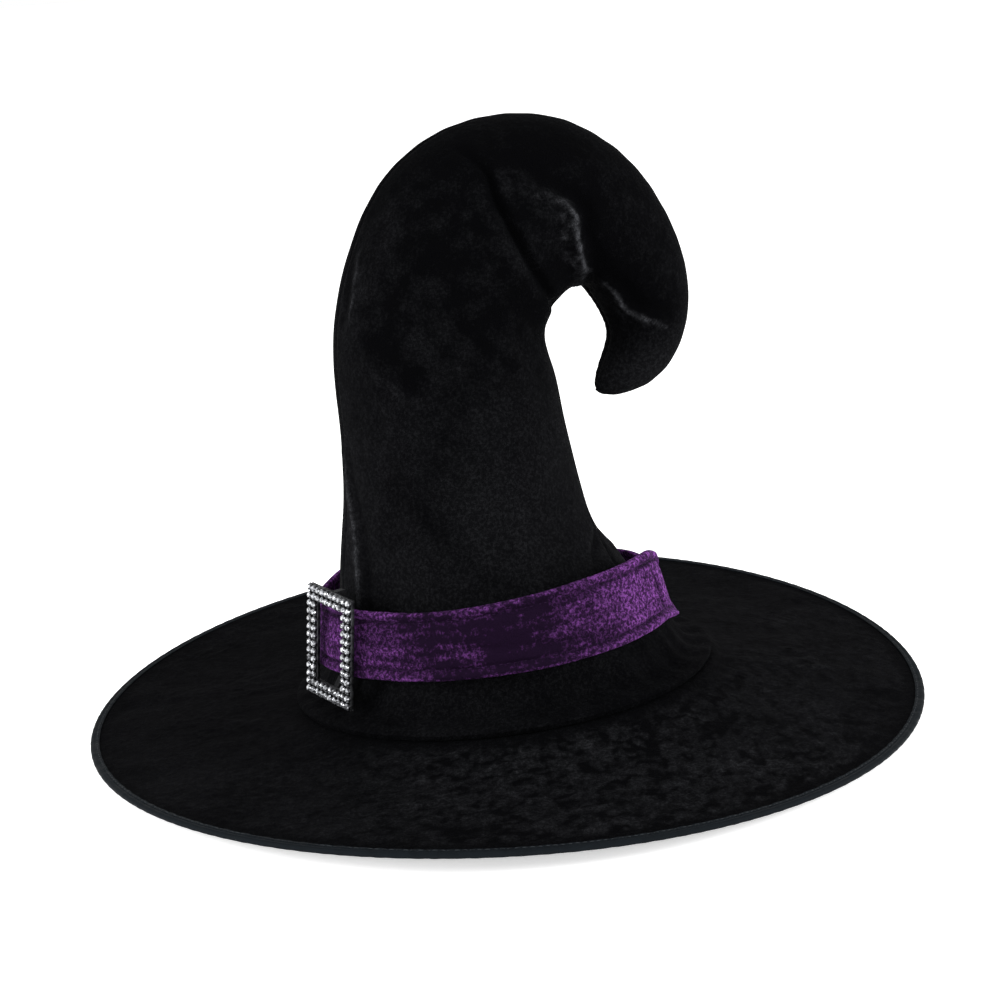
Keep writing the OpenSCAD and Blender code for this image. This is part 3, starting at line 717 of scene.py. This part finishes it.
def build_crown():
    u, stations, angles, base, normals = crown_base()
    lift, tone_and_painted_light = fold_field(base, normals, FOLDS)
    tone_and_painted_light = crown_tone_and_painted_light(tone_and_painted_light, base, stations, angles)
    lift = crown_lift(lift, base, stations, angles)

    def layer(depth):
        return base + normals * (lift - depth)[..., None]

    bottom = VELVET_T + FOAM_T
    deep_lift = np.minimum(0.6 * lift - bottom, lift - VELVET_T - 0.4)
    surfaces = {
        "skin": (layer(0), layer(VELVET_T - 0.05)),
        "foam": (layer(VELVET_T), base + normals * (deep_lift + 0.02)[..., None]),
        "lining": (base + normals * deep_lift[..., None], base + normals * (deep_lift - LINING_T)[..., None]),
    }
    build_wadding(u, surfaces["lining"][1], normals)
    build_seam_stitches(u, layer(VELVET_T + FOAM_T / 2), normals)
    half = CROWN_COLUMNS // 2
    shell_rows = int(np.searchsorted(u, SHELL_END)) + 1
    for side, first in (("near", 0), ("far", half)):
        columns = np.arange(first, first + half + 1) % CROWN_COLUMNS
        for part, slot, node in (
            ("skin", "black_velvet", f"crown_{side}_panel"),
            ("foam", "foam", f"crown_{side}_foam"),
            ("lining", "lining", f"crown_{side}_lining"),
        ):
            rows = np.arange(len(base) if part == "skin" else shell_rows)
            grids = [to_hat(surfaces[part][k][rows][:, columns]) for k in (0, 1)]
            points, faces = shell(grids[0], grids[1], False)
            # Painted light and shade go on the velvet skin only.
            skin_tone_and_painted_light = np.tile(tone_and_painted_light[:, columns].ravel(), 2) if part == "skin" else None
            piece = add_piece(f"{node}_cloth", points, faces, "hat", slot, (node,), tone_and_painted_light=skin_tone_and_painted_light)


add_camera()
add_studio()
build_crown()


# ---------- brim ----------

OPENING_R = 94.3
HEAD_R = 92.3
SWEATBAND_T = 1.5
SWEATBAND_LOW, SWEATBAND_HIGH = -4.0, 3.4
SWEATBAND_STITCH_Z = -1.55
OPENING_STITCHES = 72
SHOULDER_R = 100.5
SHOULDER_DROP = 0.3
STACK_R = 196.6
RIM_MIDDLE = 2.0
RIM_WAVE = 3.9
RIM_WAVE_TURN = 115.6
SPOKES = 9
SPOKE_LENGTH = 70
BRIM_COLUMNS = 540
BINDING_COLUMNS = 900
BINDING_IN = 195.3
TAPE_T = 0.45
TAPE_GAP = 0.05
TAPE_GATHERS = 137
TAPE_RIPPLES = 211
BINDING_STITCHES = 400
WIRE_RING_R = 198.1
WIRE_R = 0.8
WIRE_SIDES = 12
BEAD_R = 1.42


def stack_thickness(r):
    """Total thickness of the brim's layers: pressed thinner under the binding."""
    return 2.8 - 1.0 * ramp(178, 193, r)


def rim_wave(degrees):
    return RIM_WAVE * np.cos(np.radians(2 * (degrees + RIM_WAVE_TURN)))


def brim_points(r, degrees):
    """Top face of the brim at radii r (rows) and directions (columns) from +X, in the hat's frame."""
    r, degrees = np.asarray(r, float)[:, None], np.asarray(degrees, float)[None, :]
    way = around(degrees)
    edge = to_hat(way * OPENING_R)
    shoulder = to_hat(way * SHOULDER_R - UP * SHOULDER_DROP)
    rim = way * STACK_R
    rim[..., 2] = RIM_MIDDLE + stack_thickness(STACK_R) / 2
    inside = np.clip((r - OPENING_R) / (SHOULDER_R - OPENING_R), 0, 1)[..., None]
    t = np.clip((r - SHOULDER_R) / (STACK_R - SHOULDER_R), 0, 1.1)[..., None]
    inner, outer = edge + (shoulder - edge) * inside, shoulder + (rim - shoulder) * t
    points = np.where(r[..., None] < SHOULDER_R, inner, outer)
    t = t[..., 0]
    points[..., 2] += rim_wave(degrees) * t**1.6
    points[..., 2] -= 1.2 * np.sin(np.pi * np.clip(t, 0, 1)) ** 1.2
    points[..., 2] -= 2.6 * near(degrees, -12, 42) * plateau(r, 99.8, 107, 112, 150)
    return points


def brim_wrinkles(points, r):
    """Soft creases that run out from the crown and in from the binding."""
    r = np.asarray(r, float)[:, None]
    turn = np.degrees(np.arctan2(points[..., 1], points[..., 0]))
    places = around(turn) * SPOKES
    places[..., 2] = r / SPOKE_LENGTH
    spokes = bumps(places, 1.0, 4)
    middle = plateau(r, 99, 112, 186, 193)
    soft = 0.7 * bumps(points, 42, 5) + 0.45 * bumps(points, 17, 6)
    return middle * (soft + (0.4 + 0.8 * bell(r, 186, 16)) * spokes)


def crushed_patches(points):
    """Short wrinkles in the pile, gathered in patches: where they are, from 0 to 1."""
    wrinkle = 1 - np.abs(bumps(points, 10, 25) + 0.6 * bumps(points, 5.5, 26)) * 3.2
    patch = ramp(-0.25, 0.45, bumps(points, 46, 27) + 0.4 * bumps(points, 20, 28))
    return np.clip(wrinkle, 0, 1) ** 2 * patch


def build_brim():
    r = np.concatenate([
        np.linspace(OPENING_R, 104, 9)[:-1], np.linspace(104, 190, 78)[:-1], np.linspace(190, STACK_R, 7),
    ])
    degrees = evenly(BRIM_COLUMNS)
    top = brim_points(r, degrees)
    open_part = plateau(r, 101, 112, 187, 193)[:, None]
    crushed = crushed_patches(top) * open_part
    top[..., 2] += brim_wrinkles(top, r) + 0.55 * crushed
    # Painted light: brighter crushed pile at the front, painted shade in pressed creases and over the rest.
    front = near(degrees, -85, 48) + 0.35 * near(degrees, 0, 35)
    tone_and_painted_light = (0.03 + 0.13 * front) * crushed * (0.8 + 0.9 * bumps(top, 5, 36))
    tone_and_painted_light += 0.03 * open_part * bumps(top, 40, 29)
    pressed = np.clip(1 - np.abs(bumps(top, 15, 44) + 0.5 * bumps(top, 6, 45)) * 5, 0, 1)
    grains = bumps(top, 4.5, 46) + 0.7 * bumps(top, 2.6, 47)
    tone_and_painted_light += front * open_part * (0.075 + 0.11 * grains - 0.14 * pressed) - 0.02 * (1 - open_part) - 0.045
    thick = stack_thickness(r)[:, None]

    def below(share):
        moved = top.copy()
        moved[..., 2] -= thick * share
        return moved

    for name, node, start, end, slot in (
        ("brim_top_cloth", "brim_top_velvet", 0.0, 0.32, "black_velvet"),
        ("brim_felt", "brim_core", 0.33, 0.78, "felt"),
        ("brim_under_cloth", "brim_under_fabric", 0.79, 1.0, "lining"),
    ):
        points, faces = shell(below(start), below(end), True)
        piece = add_piece(name, points, faces, "hat", slot, (node,), tone_and_painted_light=np.tile(tone_and_painted_light.ravel(), 2))


def rim_frames(degrees):
    """Middle of the rim's thickness at the wire, and the outward way, at each direction."""
    way = around(degrees)
    place = way * WIRE_RING_R
    place[:, 2] = RIM_MIDDLE + rim_wave(degrees)
    return place, way


def round_rim(place, way, radius, turn):
    """Points at a radius round each middle, at angles from the outward way towards up."""
    return (place[:, None] + way[:, None] * (radius * np.cos(turn))[None, :, None]
            + UP * (radius * np.sin(turn))[None, :, None])


def tape_surface(degrees, extra, radius):
    """One face of the tape: over the top, round the bead at the wire and back underneath."""
    r_in = np.linspace(BINDING_IN, WIRE_RING_R - 0.9, 9)
    upper = np.transpose(brim_points(r_in, degrees), (1, 0, 2))
    lower = upper.copy()
    upper[..., 2] += TAPE_GAP + extra
    lower[..., 2] -= stack_thickness(r_in)[None, :] + TAPE_GAP + extra
    bead = round_rim(*rim_frames(degrees), radius, np.radians(np.linspace(125, -125, 19)))
    return np.concatenate([upper[:, :-1], bead, lower[:, ::-1][:, 1:]], 1)


def build_binding():
    degrees = evenly(BINDING_COLUMNS)
    outer = tape_surface(degrees, TAPE_T, BEAD_R)
    inner = tape_surface(degrees, 0.0, BEAD_R - TAPE_T)
    across = np.linspace(-1, 1, outer.shape[1])
    gather = (np.sin(np.radians(degrees * TAPE_GATHERS) + 2.2 * np.sin(np.radians(degrees * 9)))
              + 0.6 * np.sin(np.radians(degrees * TAPE_RIPPLES + 40)))[:, None]
    swell = 0.10 * gather * (0.4 + 0.6 * np.abs(across))[None, :]
    place, way = rim_frames(degrees)
    outer = outer + unit(outer - place[:, None] + way[:, None] * 1.5) * swell[..., None]
    points, faces = ring_solid(np.concatenate([outer, inner[:, ::-1]], 1))
    piece = add_piece("rim_binding", points, faces, "hat", "binding_tape", ("brim_binding",), 60)


def build_wire():
    """The open hoop of wire in the rim, and the ferrule that joins its ends."""
    turn = np.radians(evenly(WIRE_SIDES))
    sections = round_rim(*rim_frames(np.linspace(1.0, 359.0, BRIM_COLUMNS)), WIRE_R, turn)
    points = sections.reshape(-1, 3)
    faces = outward(points, tube_faces(*sections.shape[:2]))
    add_piece("brim_wire_ring", points, faces, "hat", "wire", ("brim_wire",))
    place, way = rim_frames(np.linspace(-3, 3, 15))
    pinch = 1 - 0.12 * np.cos(np.linspace(-math.pi, math.pi, 15) * 3)
    outside = round_rim(place, way, WIRE_R + 0.15, turn)
    outside = place[:, None] + (outside - place[:, None]) * pinch[:, None, None]
    points, faces = shell(outside, round_rim(place, way, WIRE_R, turn), True)
    add_piece("rim_ferrule", points, faces, "hat", "wire", ("wire_ferrule",))


def build_binding_stitches():
    degrees = evenly(BINDING_STITCHES, 0.5)
    top = brim_points([BINDING_IN + 1.0], degrees)[0]
    top[:, 2] += TAPE_GAP + TAPE_T + 0.06
    add_stitches("binding_stitch_row", "binding_stitching", (2.3, 0.2, 0.14), top, around(degrees + 90), UP,
                 "hat", "binding_thread")


def build_head_opening():
    """The ribbed ribbon inside the head opening, and the stitches that hold it and the crown to the brim."""
    arc = np.radians(np.linspace(0, 90, 5))
    edge = 0.3 * np.stack([np.cos(arc) - 1, np.sin(arc) - 1], -1)
    half_t, half_h = SWEATBAND_T / 2, (SWEATBAND_HIGH - SWEATBAND_LOW) / 2
    section = np.concatenate([
        (([half_t, half_h] + edge) * signs)[::order]
        for signs, order in (((1, 1), 1), ((-1, 1), -1), ((-1, -1), 1), ((1, -1), -1))
    ])
    outside = section[:, 0] > 0
    turn = np.radians(evenly(BRIM_COLUMNS))[:, None]
    worn = 0.12 * np.sin(turn * 9 + 1.3 * np.sin(turn * 4)) + 0.08 * np.sin(turn * 23)
    r = HEAD_R + half_t + section[None, :, 0] + np.where(outside, 0.0, 0.06 + 0.05 * worn)
    z = (SWEATBAND_LOW + SWEATBAND_HIGH) / 2 + section[None, :, 1] * (1 + 0.02 * worn)
    rings = to_hat(np.stack([r * np.cos(turn), r * np.sin(turn), z + 0 * turn], -1))
    points, faces = ring_solid(rings)
    ribbon = add_piece("sweatband_ribbon", points, faces, "hat", "ribbon", ("sweatband",), 50)
    length = 2 * math.pi * (HEAD_R + half_t) * MM

    degrees = evenly(OPENING_STITCHES)
    out = around(degrees)
    seam = brim_points([SHOULDER_R - 2.5], degrees)[0] - UP * 0.9
    spots = to_hat(out * (HEAD_R + 0.3) + UP * SWEATBAND_STITCH_Z)
    for row, places, length, up in (
        ("crown_brim", seam, 3.6, UP),
        ("sweatband", spots, 2.8, -out),
    ):
        add_stitches(f"{row}_stitch_row", f"{row}_stitching", (length, 0.25, 0.1), places,
                     around(degrees + 90), up, "hat", "black_thread")


build_brim()
build_binding()
build_wire()
build_binding_stitches()
build_head_opening()


# ---------- hat band ----------

# The loop's middle is at BAND_X and BAND_Z in the crown's frame. Its pressed corner, the ear, is EAR degrees
# from the front towards +X, and the sides run straight for EAR_HALF degrees before it and after it.
BAND_X, BAND_Z = -3.0, 42.0
BAND_R = 82.5
BAND_H = 35.0
BAND_T = 2.2
BAND_SLOPE = 0.14
FAR_SIDE_R = 77.3
FAR_SIDE_SLOPE = 0.34
BAND_SKIN = 0.7
EAR = 67.0
EAR_HALF = 14.0
BAND_COLUMNS = 720
TOPSTITCH_Z = 12.5
TOPSTITCHES = 150
LAP_ANGLE = 181.0
MM_PER_DEGREE = 1.44
BUCKLE_REACH = 1.5


def band_to_hat(points):
    return to_hat(np.asarray(points, float) + np.array([BAND_X, 0, BAND_Z]))


def ear_stretch(angles):
    """How much longer the radius is near the ear, whose corner is rounded by a degree."""
    corner = np.sqrt(turned_from(angles, EAR)**2 + 1.0)
    inside = np.clip(EAR_HALF - corner, 0, None)
    return 1 / np.cos(np.radians(inside))


# The middle of the band, and the matrix that takes out what a vector has along the band's axis.
BAND_MIDDLE = band_to_hat(np.zeros(3))
ACROSS_BAND = np.eye(3) - np.outer(CROWN_UP, CROWN_UP)


def far_side(angles):
    """Where the loose band is drawn in against the crown and sags, behind the pressed corner."""
    return plateau(turned_from(angles, EAR + 90) + 90, -7, 12, 100, 135)


def band_place(angles, depth, z):
    """Points of the band: angles from the front towards +X, depth outwards from its inner face, height z."""
    angles, depth, z = np.broadcast_arrays(np.asarray(angles, float), depth, z)
    sagging = far_side(angles)
    at_ear = bell(turned_from(angles, EAR), 1, 11)
    front = turned_from(angles, 0)
    pressed = plateau(front, -180, -120, -42, 28)
    behind = plateau(front, -180, -115, -98, -80)
    drop = 7.0 + 5.5 * bell(turned_from(angles, EAR), 58, 42)
    low = z * (1 - 0.34 * sagging) - drop * sagging - 3.6 * at_ear - 2.6 * at_ear * ramp(0, BAND_H / 2, z)
    low = low - (4.2 * pressed + 7.0 * behind) * ramp(-14, BAND_H / 2, z)
    loose = (BAND_R - BAND_SLOPE * z) * ear_stretch(angles) - 1.0 * at_ear
    r = loose + (FAR_SIDE_R - FAR_SIDE_SLOPE * low - loose) * sagging + depth
    a = np.radians(angles)
    return np.stack([r * np.sin(a), -r * np.cos(a), low], -1)


def pleat(from_ear, z, width):
    """The upright pleat beside the pressed corner, from 0 to 1."""
    return bell(from_ear + 13.0 + 0.12 * (z + 4), 0, width) * plateau(z, -13, -8, 5, 12)


def band_relief(angles, z):
    """How far the sleeve's outer face stands off its plain surface: puffed hems, stitch grooves, creases."""
    angles, z = np.broadcast_arrays(np.asarray(angles, float), z)
    flat = band_place(angles, 0.0, z)
    away = np.abs(z)
    from_ear = turned_from(angles, EAR)
    a = turned_from(angles, 0)
    puff = 0.95 * bell(away, 15.6, 1.9) + 0.35 * (1 - (away / BAND_H * 2) ** 2)
    puff -= 1.05 * bell(away, TOPSTITCH_Z, 1.0)
    creases = 0.55 * bumps(flat, 15, 7) + 0.34 * bumps(flat, 6, 8) + 0.12 * bumps(flat, 2.6, 37)
    slant = np.sin((angles * MM_PER_DEGREE + z * 1.1) / 5.2 + 2.5 * bumps(flat, 26, 9))
    creases += 0.32 * slant * ramp(-0.1, 0.5, bumps(flat, 38, 10))
    creases -= 1.0 * bell(z + 0.16 * (a + 30), -2, 2.6) * bell(a, -12, 24)
    creases -= 0.8 * bell(z - 0.20 * (a + 40), 4, 1.8) * bell(a, -42, 16)
    at_ear = bell(from_ear, 0, 13)
    reach = BUCKLE_REACH + 2.2 * at_ear
    flare = 1.2 * bell(from_ear, -1, 8) * bell(z, -15.6, 2.4)
    flare += 1.1 * bell(from_ear, -16, 4.5) * bell(z, 0, 11)
    total = puff + creases * (1 - 0.6 * bell(away, BAND_H / 2, 3)) + flare
    return np.clip(np.clip(total, -0.6, reach) - 1.7 * pleat(from_ear, z, 1.7), -0.75, reach)


def band_tone_and_painted_light(angles, z):
    """Painted light: bright at the pressed corner and the hems, painted shade across the front."""
    angles, z = np.broadcast_arrays(np.asarray(angles, float), z)
    flat = band_place(angles, 0.0, z)
    a = turned_from(angles, 0)
    from_ear = turned_from(angles, EAR)
    streaks = bumps(np.stack([angles * MM_PER_DEGREE / 16, z / 3.2, 0 * z], -1), 1.0, 41)
    # Painted light towards the ends, painted shade across the middle of the front.
    tone_and_painted_light = 0.22 * plateau(a, 2, 50, 95, 130)
    tone_and_painted_light += 0.09 * (1 - ramp(-62, -40, a)) + 0.05 * ramp(95, 160, np.abs(a))
    tone_and_painted_light += 0.04 * bell(a, -45, 11) - 0.07 * bell(a, -12, 26) + 0.06 * (1 - ramp(-80, -64, a))
    # Painted highlights along the hem edges.
    hem_highlight = 0.7 + 0.9 * bumps(flat, 3, 42)
    tone_and_painted_light += 0.18 * bell(np.abs(z), 16.9, 0.9) * hem_highlight - 0.035
    tone_and_painted_light += 0.07 * bell(np.abs(z), 14.6, 0.8) * ramp(-0.1, 0.5, bumps(flat, 14, 48))
    tone_and_painted_light += 0.07 * bumps(flat, 18, 31) + 0.11 * streaks + 0.06 * bumps(flat, 2.6, 38)
    # Painted highlight strips at the pressed corner.
    tone_and_painted_light += 0.35 * bell(from_ear, 0, 1.3) + 0.13 * bell(from_ear, -5, 4.5) + 0.20 * bell(from_ear, -9.0, 1.3)
    # Painted shade in the pleat beside the corner and in the topstitch grooves.
    dark = np.maximum(0.95 * pleat(from_ear, z + 1, 2.2), 0.85 * bell(np.abs(z), TOPSTITCH_Z, 1.2))
    return tone_and_painted_light * (1 - dark) - 0.08 * dark


def band_bend(angles):
    """How far the band's middle line wanders up and down."""
    return 0.5 * bumps(band_place(angles, 0.0, 0.0), 24, 11)


def sleeve_profile():
    """Height and depth along the folded cloth from slit to slit, on both faces, and share of the relief."""
    half, roll, mid = BAND_H / 2, BAND_T / 2, BAND_T / 2
    turn = np.radians(np.linspace(-75, 75, 8))
    inner_up = np.linspace(0.5, half - roll, 16)
    outer_down = np.linspace(half - roll, -half + roll, 60)
    z = np.concatenate([inner_up, half - roll + roll * np.cos(turn), outer_down,
                        -half + roll - roll * np.cos(turn), -inner_up[::-1]])
    depth = np.concatenate([np.zeros(16), mid + roll * np.sin(turn), np.full(60, BAND_T),
                            mid - roll * np.sin(turn), np.zeros(16)])
    path = np.stack([z, depth], -1)
    step = unit(np.gradient(path, axis=0))
    inwards = np.stack([step[:, 1], -step[:, 0]], -1)
    if (inwards * (np.array([0, mid]) - path))[len(path) // 2].sum() < 0:
        inwards = -inwards
    lining_path = path + BAND_SKIN * inwards
    share = np.clip(depth / BAND_T, 0, 1)
    return np.concatenate([path, lining_path[::-1]]), np.concatenate([share, share[::-1]])


def on_sleeve(angles, z):
    """Points just inside the sleeve's outer face."""
    spots = band_place(angles, BAND_T + band_relief(angles, z) - 0.08, z)
    spots[..., 2] += band_bend(angles)
    return band_to_hat(spots)


def build_band():
    turn = EAR + evenly(BAND_COLUMNS)[:, None]
    profile, share = sleeve_profile()
    z, depth = profile[None, :, 0], profile[None, :, 1]
    sections = band_place(turn, depth + share * band_relief(turn, z), z)
    sections[..., 2] += band_bend(turn)
    points, faces = ring_solid(band_to_hat(sections))
    band = add_piece("hatband_sleeve", points, faces, "band", "purple_velvet", ("hatband",), 60,
                     tone_and_painted_light=band_tone_and_painted_light(turn, z))

    at = EAR + evenly(TOPSTITCHES, 0.5)
    for row, where, heights, turn_step, rise_step in (
        ("upper", at, np.full(TOPSTITCHES, TOPSTITCH_Z), 0.4, 0.0),
        ("lower", at, np.full(TOPSTITCHES, -TOPSTITCH_Z), 0.4, 0.0),
        ("lap", np.full(9, LAP_ANGLE), np.linspace(-10, 10, 9), 0.0, 0.3),
    ):
        spots = on_sleeve(where, heights)
        ahead = (on_sleeve(where + turn_step, heights + rise_step)
                 - on_sleeve(where - turn_step, heights - rise_step))
        add_stitches(f"hatband_{row}_stitch_row", f"hatband_{row}_stitching", (2.2, 0.17, 0.10), spots, ahead,
                     (spots - BAND_MIDDLE) @ ACROSS_BAND, "band", "purple_thread")

    half = BAND_H / 2 - 2.2
    z = np.linspace(-half, half, 20)[None, :]
    face = np.minimum(0.64 * BAND_T, BAND_T - BAND_SKIN + band_relief(turn, z) - 0.05)
    grids = []
    for depth in (face, np.minimum(0.36 * BAND_T, face - 0.2)):
        sheet = band_place(turn, depth, z)
        sheet[..., 2] += band_bend(turn)
        grids.append(band_to_hat(np.transpose(sheet, (1, 0, 2))))
    points, faces = shell(grids[0], grids[1], True)
    piece = add_piece("hatband_stiffener", points, faces, "band", "interfacing",
                      ("hatband_interfacing",))


build_band()


# ---------- buckle ----------

BUCKLE_ANGLE = -72.0
BUCKLE_SHIFT = -4.5
BUCKLE_ROLL = 5.0
STONE_PITCH = 3.75
STONE_COLUMNS, STONE_ROWS, STONE_RAIL = 10, 14, 2
STONE_TILT = 5.0
FRAME_T = 1.8
FRAME_R = BAND_R + 4.4
FRAME_LEAN = math.atan(0.12)
FRAME_EDGE = 0.35
CUP_H = 0.8
HALF_W, HALF_H = 18.65, 26.15
OPEN_W, OPEN_H = 11.35, 18.85


def buckle_to_hat(points):
    """Points of the buckle's own axes (X along it, -Y outwards, Z up), in the hat's frame."""
    x, y, z = np.moveaxis(np.asarray(points, float), -1, 0)
    x, z = rotated(x, z, math.radians(BUCKLE_ROLL))
    y, z = rotated(y, z + BUCKLE_SHIFT, FRAME_LEAN)
    x, y = rotated(x, y - FRAME_R, -math.radians(BUCKLE_ANGLE))
    return band_to_hat(np.stack([x, y, z], -1))


def every_seat():
    columns, rows = np.meshgrid(np.arange(STONE_COLUMNS), np.arange(STONE_ROWS))
    in_opening = ((columns >= STONE_RAIL) & (columns < STONE_COLUMNS - STONE_RAIL)
                  & (rows >= STONE_RAIL) & (rows < STONE_ROWS - STONE_RAIL))
    x = (columns[~in_opening] - (STONE_COLUMNS - 1) / 2) * STONE_PITCH
    z = (rows[~in_opening] - (STONE_ROWS - 1) / 2) * STONE_PITCH
    return np.stack([x, np.full(len(x), -FRAME_T), z], -1)


def turned(profile, sides):
    """A closed solid turned round Z, from a profile of (radius, height) that starts and ends on the axis."""
    ring = np.arange(sides) * 2 * math.pi / sides
    rows = [[(r * math.cos(t), r * math.sin(t), z) for t in ring] for r, z in profile[1:-1]]
    points = np.array([p for row in rows for p in row] + [(0, 0, profile[0][1]), (0, 0, profile[-1][1])])
    index = numbered(len(rows), sides)
    faces = whole(quads(index, True))
    for k in range(sides):
        faces.append((int(index[0][(k + 1) % sides]), int(index[0][k]), len(points) - 2))
        faces.append((int(index[-1][k]), int(index[-1][(k + 1) % sides]), len(points) - 1))
    return points, faces


def stone_shape():
    """A flat-backed round stone: girdle, two tiers of facets and an eight-sided table."""
    tiers = [  # radius, height, sides, and turn as a part of a side
        (1.45, 0.0, 16, 0), (1.56, 0.22, 16, 0), (1.56, 0.34, 16, 0),
        (1.24, 0.80, 8, 0.5), (0.84, 1.12, 8, 0),
    ]
    points, rows = [], []
    for radius, z, sides, shift in tiers:
        rows.append([len(points) + k for k in range(sides)])
        step = 2 * math.pi / sides
        points += [(radius * math.cos((k + shift) * step), radius * math.sin((k + shift) * step), z)
                   for k in range(sides)]
    faces = [tuple(reversed(rows[0]))]
    for low, high in ((rows[0], rows[1]), (rows[1], rows[2])):
        faces += [(low[k], low[(k + 1) % 16], high[(k + 1) % 16], high[k]) for k in range(16)]
    girdle, upper, table = rows[2], rows[3], rows[4]
    for k in range(8):
        left, tip, right = girdle[2 * k], girdle[2 * k + 1], girdle[(2 * k + 2) % 16]
        here, beside = upper[k], upper[(k + 1) % 8]
        faces += [(left, tip, here), (tip, right, here), (right, beside, here)]
        faces += [(here, beside, table[(k + 1) % 8]), (here, table[(k + 1) % 8], table[k])]
    faces.append(tuple(table))
    return np.array(points), faces


def build_frame():
    """The frame: a flat rectangle with softened edges, mitred at its corners."""
    rail_w, rail_h = HALF_W - OPEN_W, HALF_H - OPEN_H
    arc = np.radians(np.linspace(0, 90, 5))
    soft = FRAME_EDGE * (1 - np.sin(arc)), FRAME_EDGE * (1 - np.cos(arc))
    corner = list(zip(*soft))
    section = corner + [(rail_w - v, u) for u, v in corner]
    section += [(rail_w - u, FRAME_T - v) for u, v in corner]
    section += [(v, FRAME_T - u) for u, v in corner]
    rings = [[(sx * (OPEN_W + u), -v, sz * (OPEN_H + u * rail_h / rail_w)) for u, v in section]
             for sx, sz in ((1, 1), (1, -1), (-1, -1), (-1, 1))]
    points, faces = ring_solid(buckle_to_hat(np.array(rings)))
    add_piece("buckle_rectangle", points, faces, "buckle", "silver_plastic", ("buckle_frame",), 30)


def build_buckle():
    build_frame()
    seats = every_seat()
    origin = buckle_to_hat(np.zeros(3))
    facing = buckle_to_hat(np.array([0, -1, 0])) - origin
    along = buckle_to_hat(np.array([1, 0, 0])) - origin
    count = len(seats)
    facing_hat, along_hat = np.tile(facing, (count, 1)), np.tile(along, (count, 1))
    across = np.cross(facing_hat, along_hat)
    cup = [(0, 0), (1.74, 0), (1.80, 0.12), (1.80, 0.62), (1.72, 0.78), (1.62, 0.80), (1.54, 0.62), (0, 0.60)]
    shape, faces = turned(cup, 24)
    points, all_faces = copies(shape, faces, buckle_to_hat(seats), along_hat, facing_hat)
    add_piece("stone_cups", points, all_faces, "buckle", "silver_foil", ("stone_settings",), 40)

    # Every stone sits a little askew, and turned by its own amount.
    each = np.arange(count)
    tilt = np.radians(STONE_TILT) * np.stack([np.sin(each * 2.4), np.cos(each * 3.7)], -1)
    tipped = unit(facing_hat + along_hat * tilt[:, :1] + across * tilt[:, 1:])
    turns = np.radians(37 * each % 45)[:, None]
    spun = along_hat * np.cos(turns) + across * np.sin(turns)
    shape, faces = stone_shape()
    base = buckle_to_hat(seats) + facing_hat * (CUP_H + 0.02)
    level = spun - (spun * tipped).sum(-1, keepdims=True) * tipped
    points, all_faces = copies(shape, faces, base, level, tipped)
    add_piece("faceted_stones", points, all_faces, "buckle", "clear_stone", ("rhinestones",), 5)

    prong, prong_faces = stitch_shape(1.1, 0.2, 0.0, 6, 5)
    origins, ways, ups = [], [], []
    for k in range(4):
        corner = math.radians(45 + 90 * k)
        out = along_hat * math.cos(corner) + across * math.sin(corner)
        origins.append(base + out * 1.6 + facing_hat * 0.2)
        ways.append(facing_hat * 0.8 - out * 0.35)
        ups.append(out)
    points, all_faces = copies(prong, prong_faces, *map(np.concatenate, (origins, ways, ups)))
    add_piece("stone_prongs", points, all_faces, "buckle", "silver_foil")


build_buckle()


# ---------- the CAD piece that stays ----------

# Painted shade: the bar gets the near-black plastic.
for material_slot in frame["nodes"]["buckle_bar"].material_slots:
    material_slot.material = BAR_PAINTED_SHADE
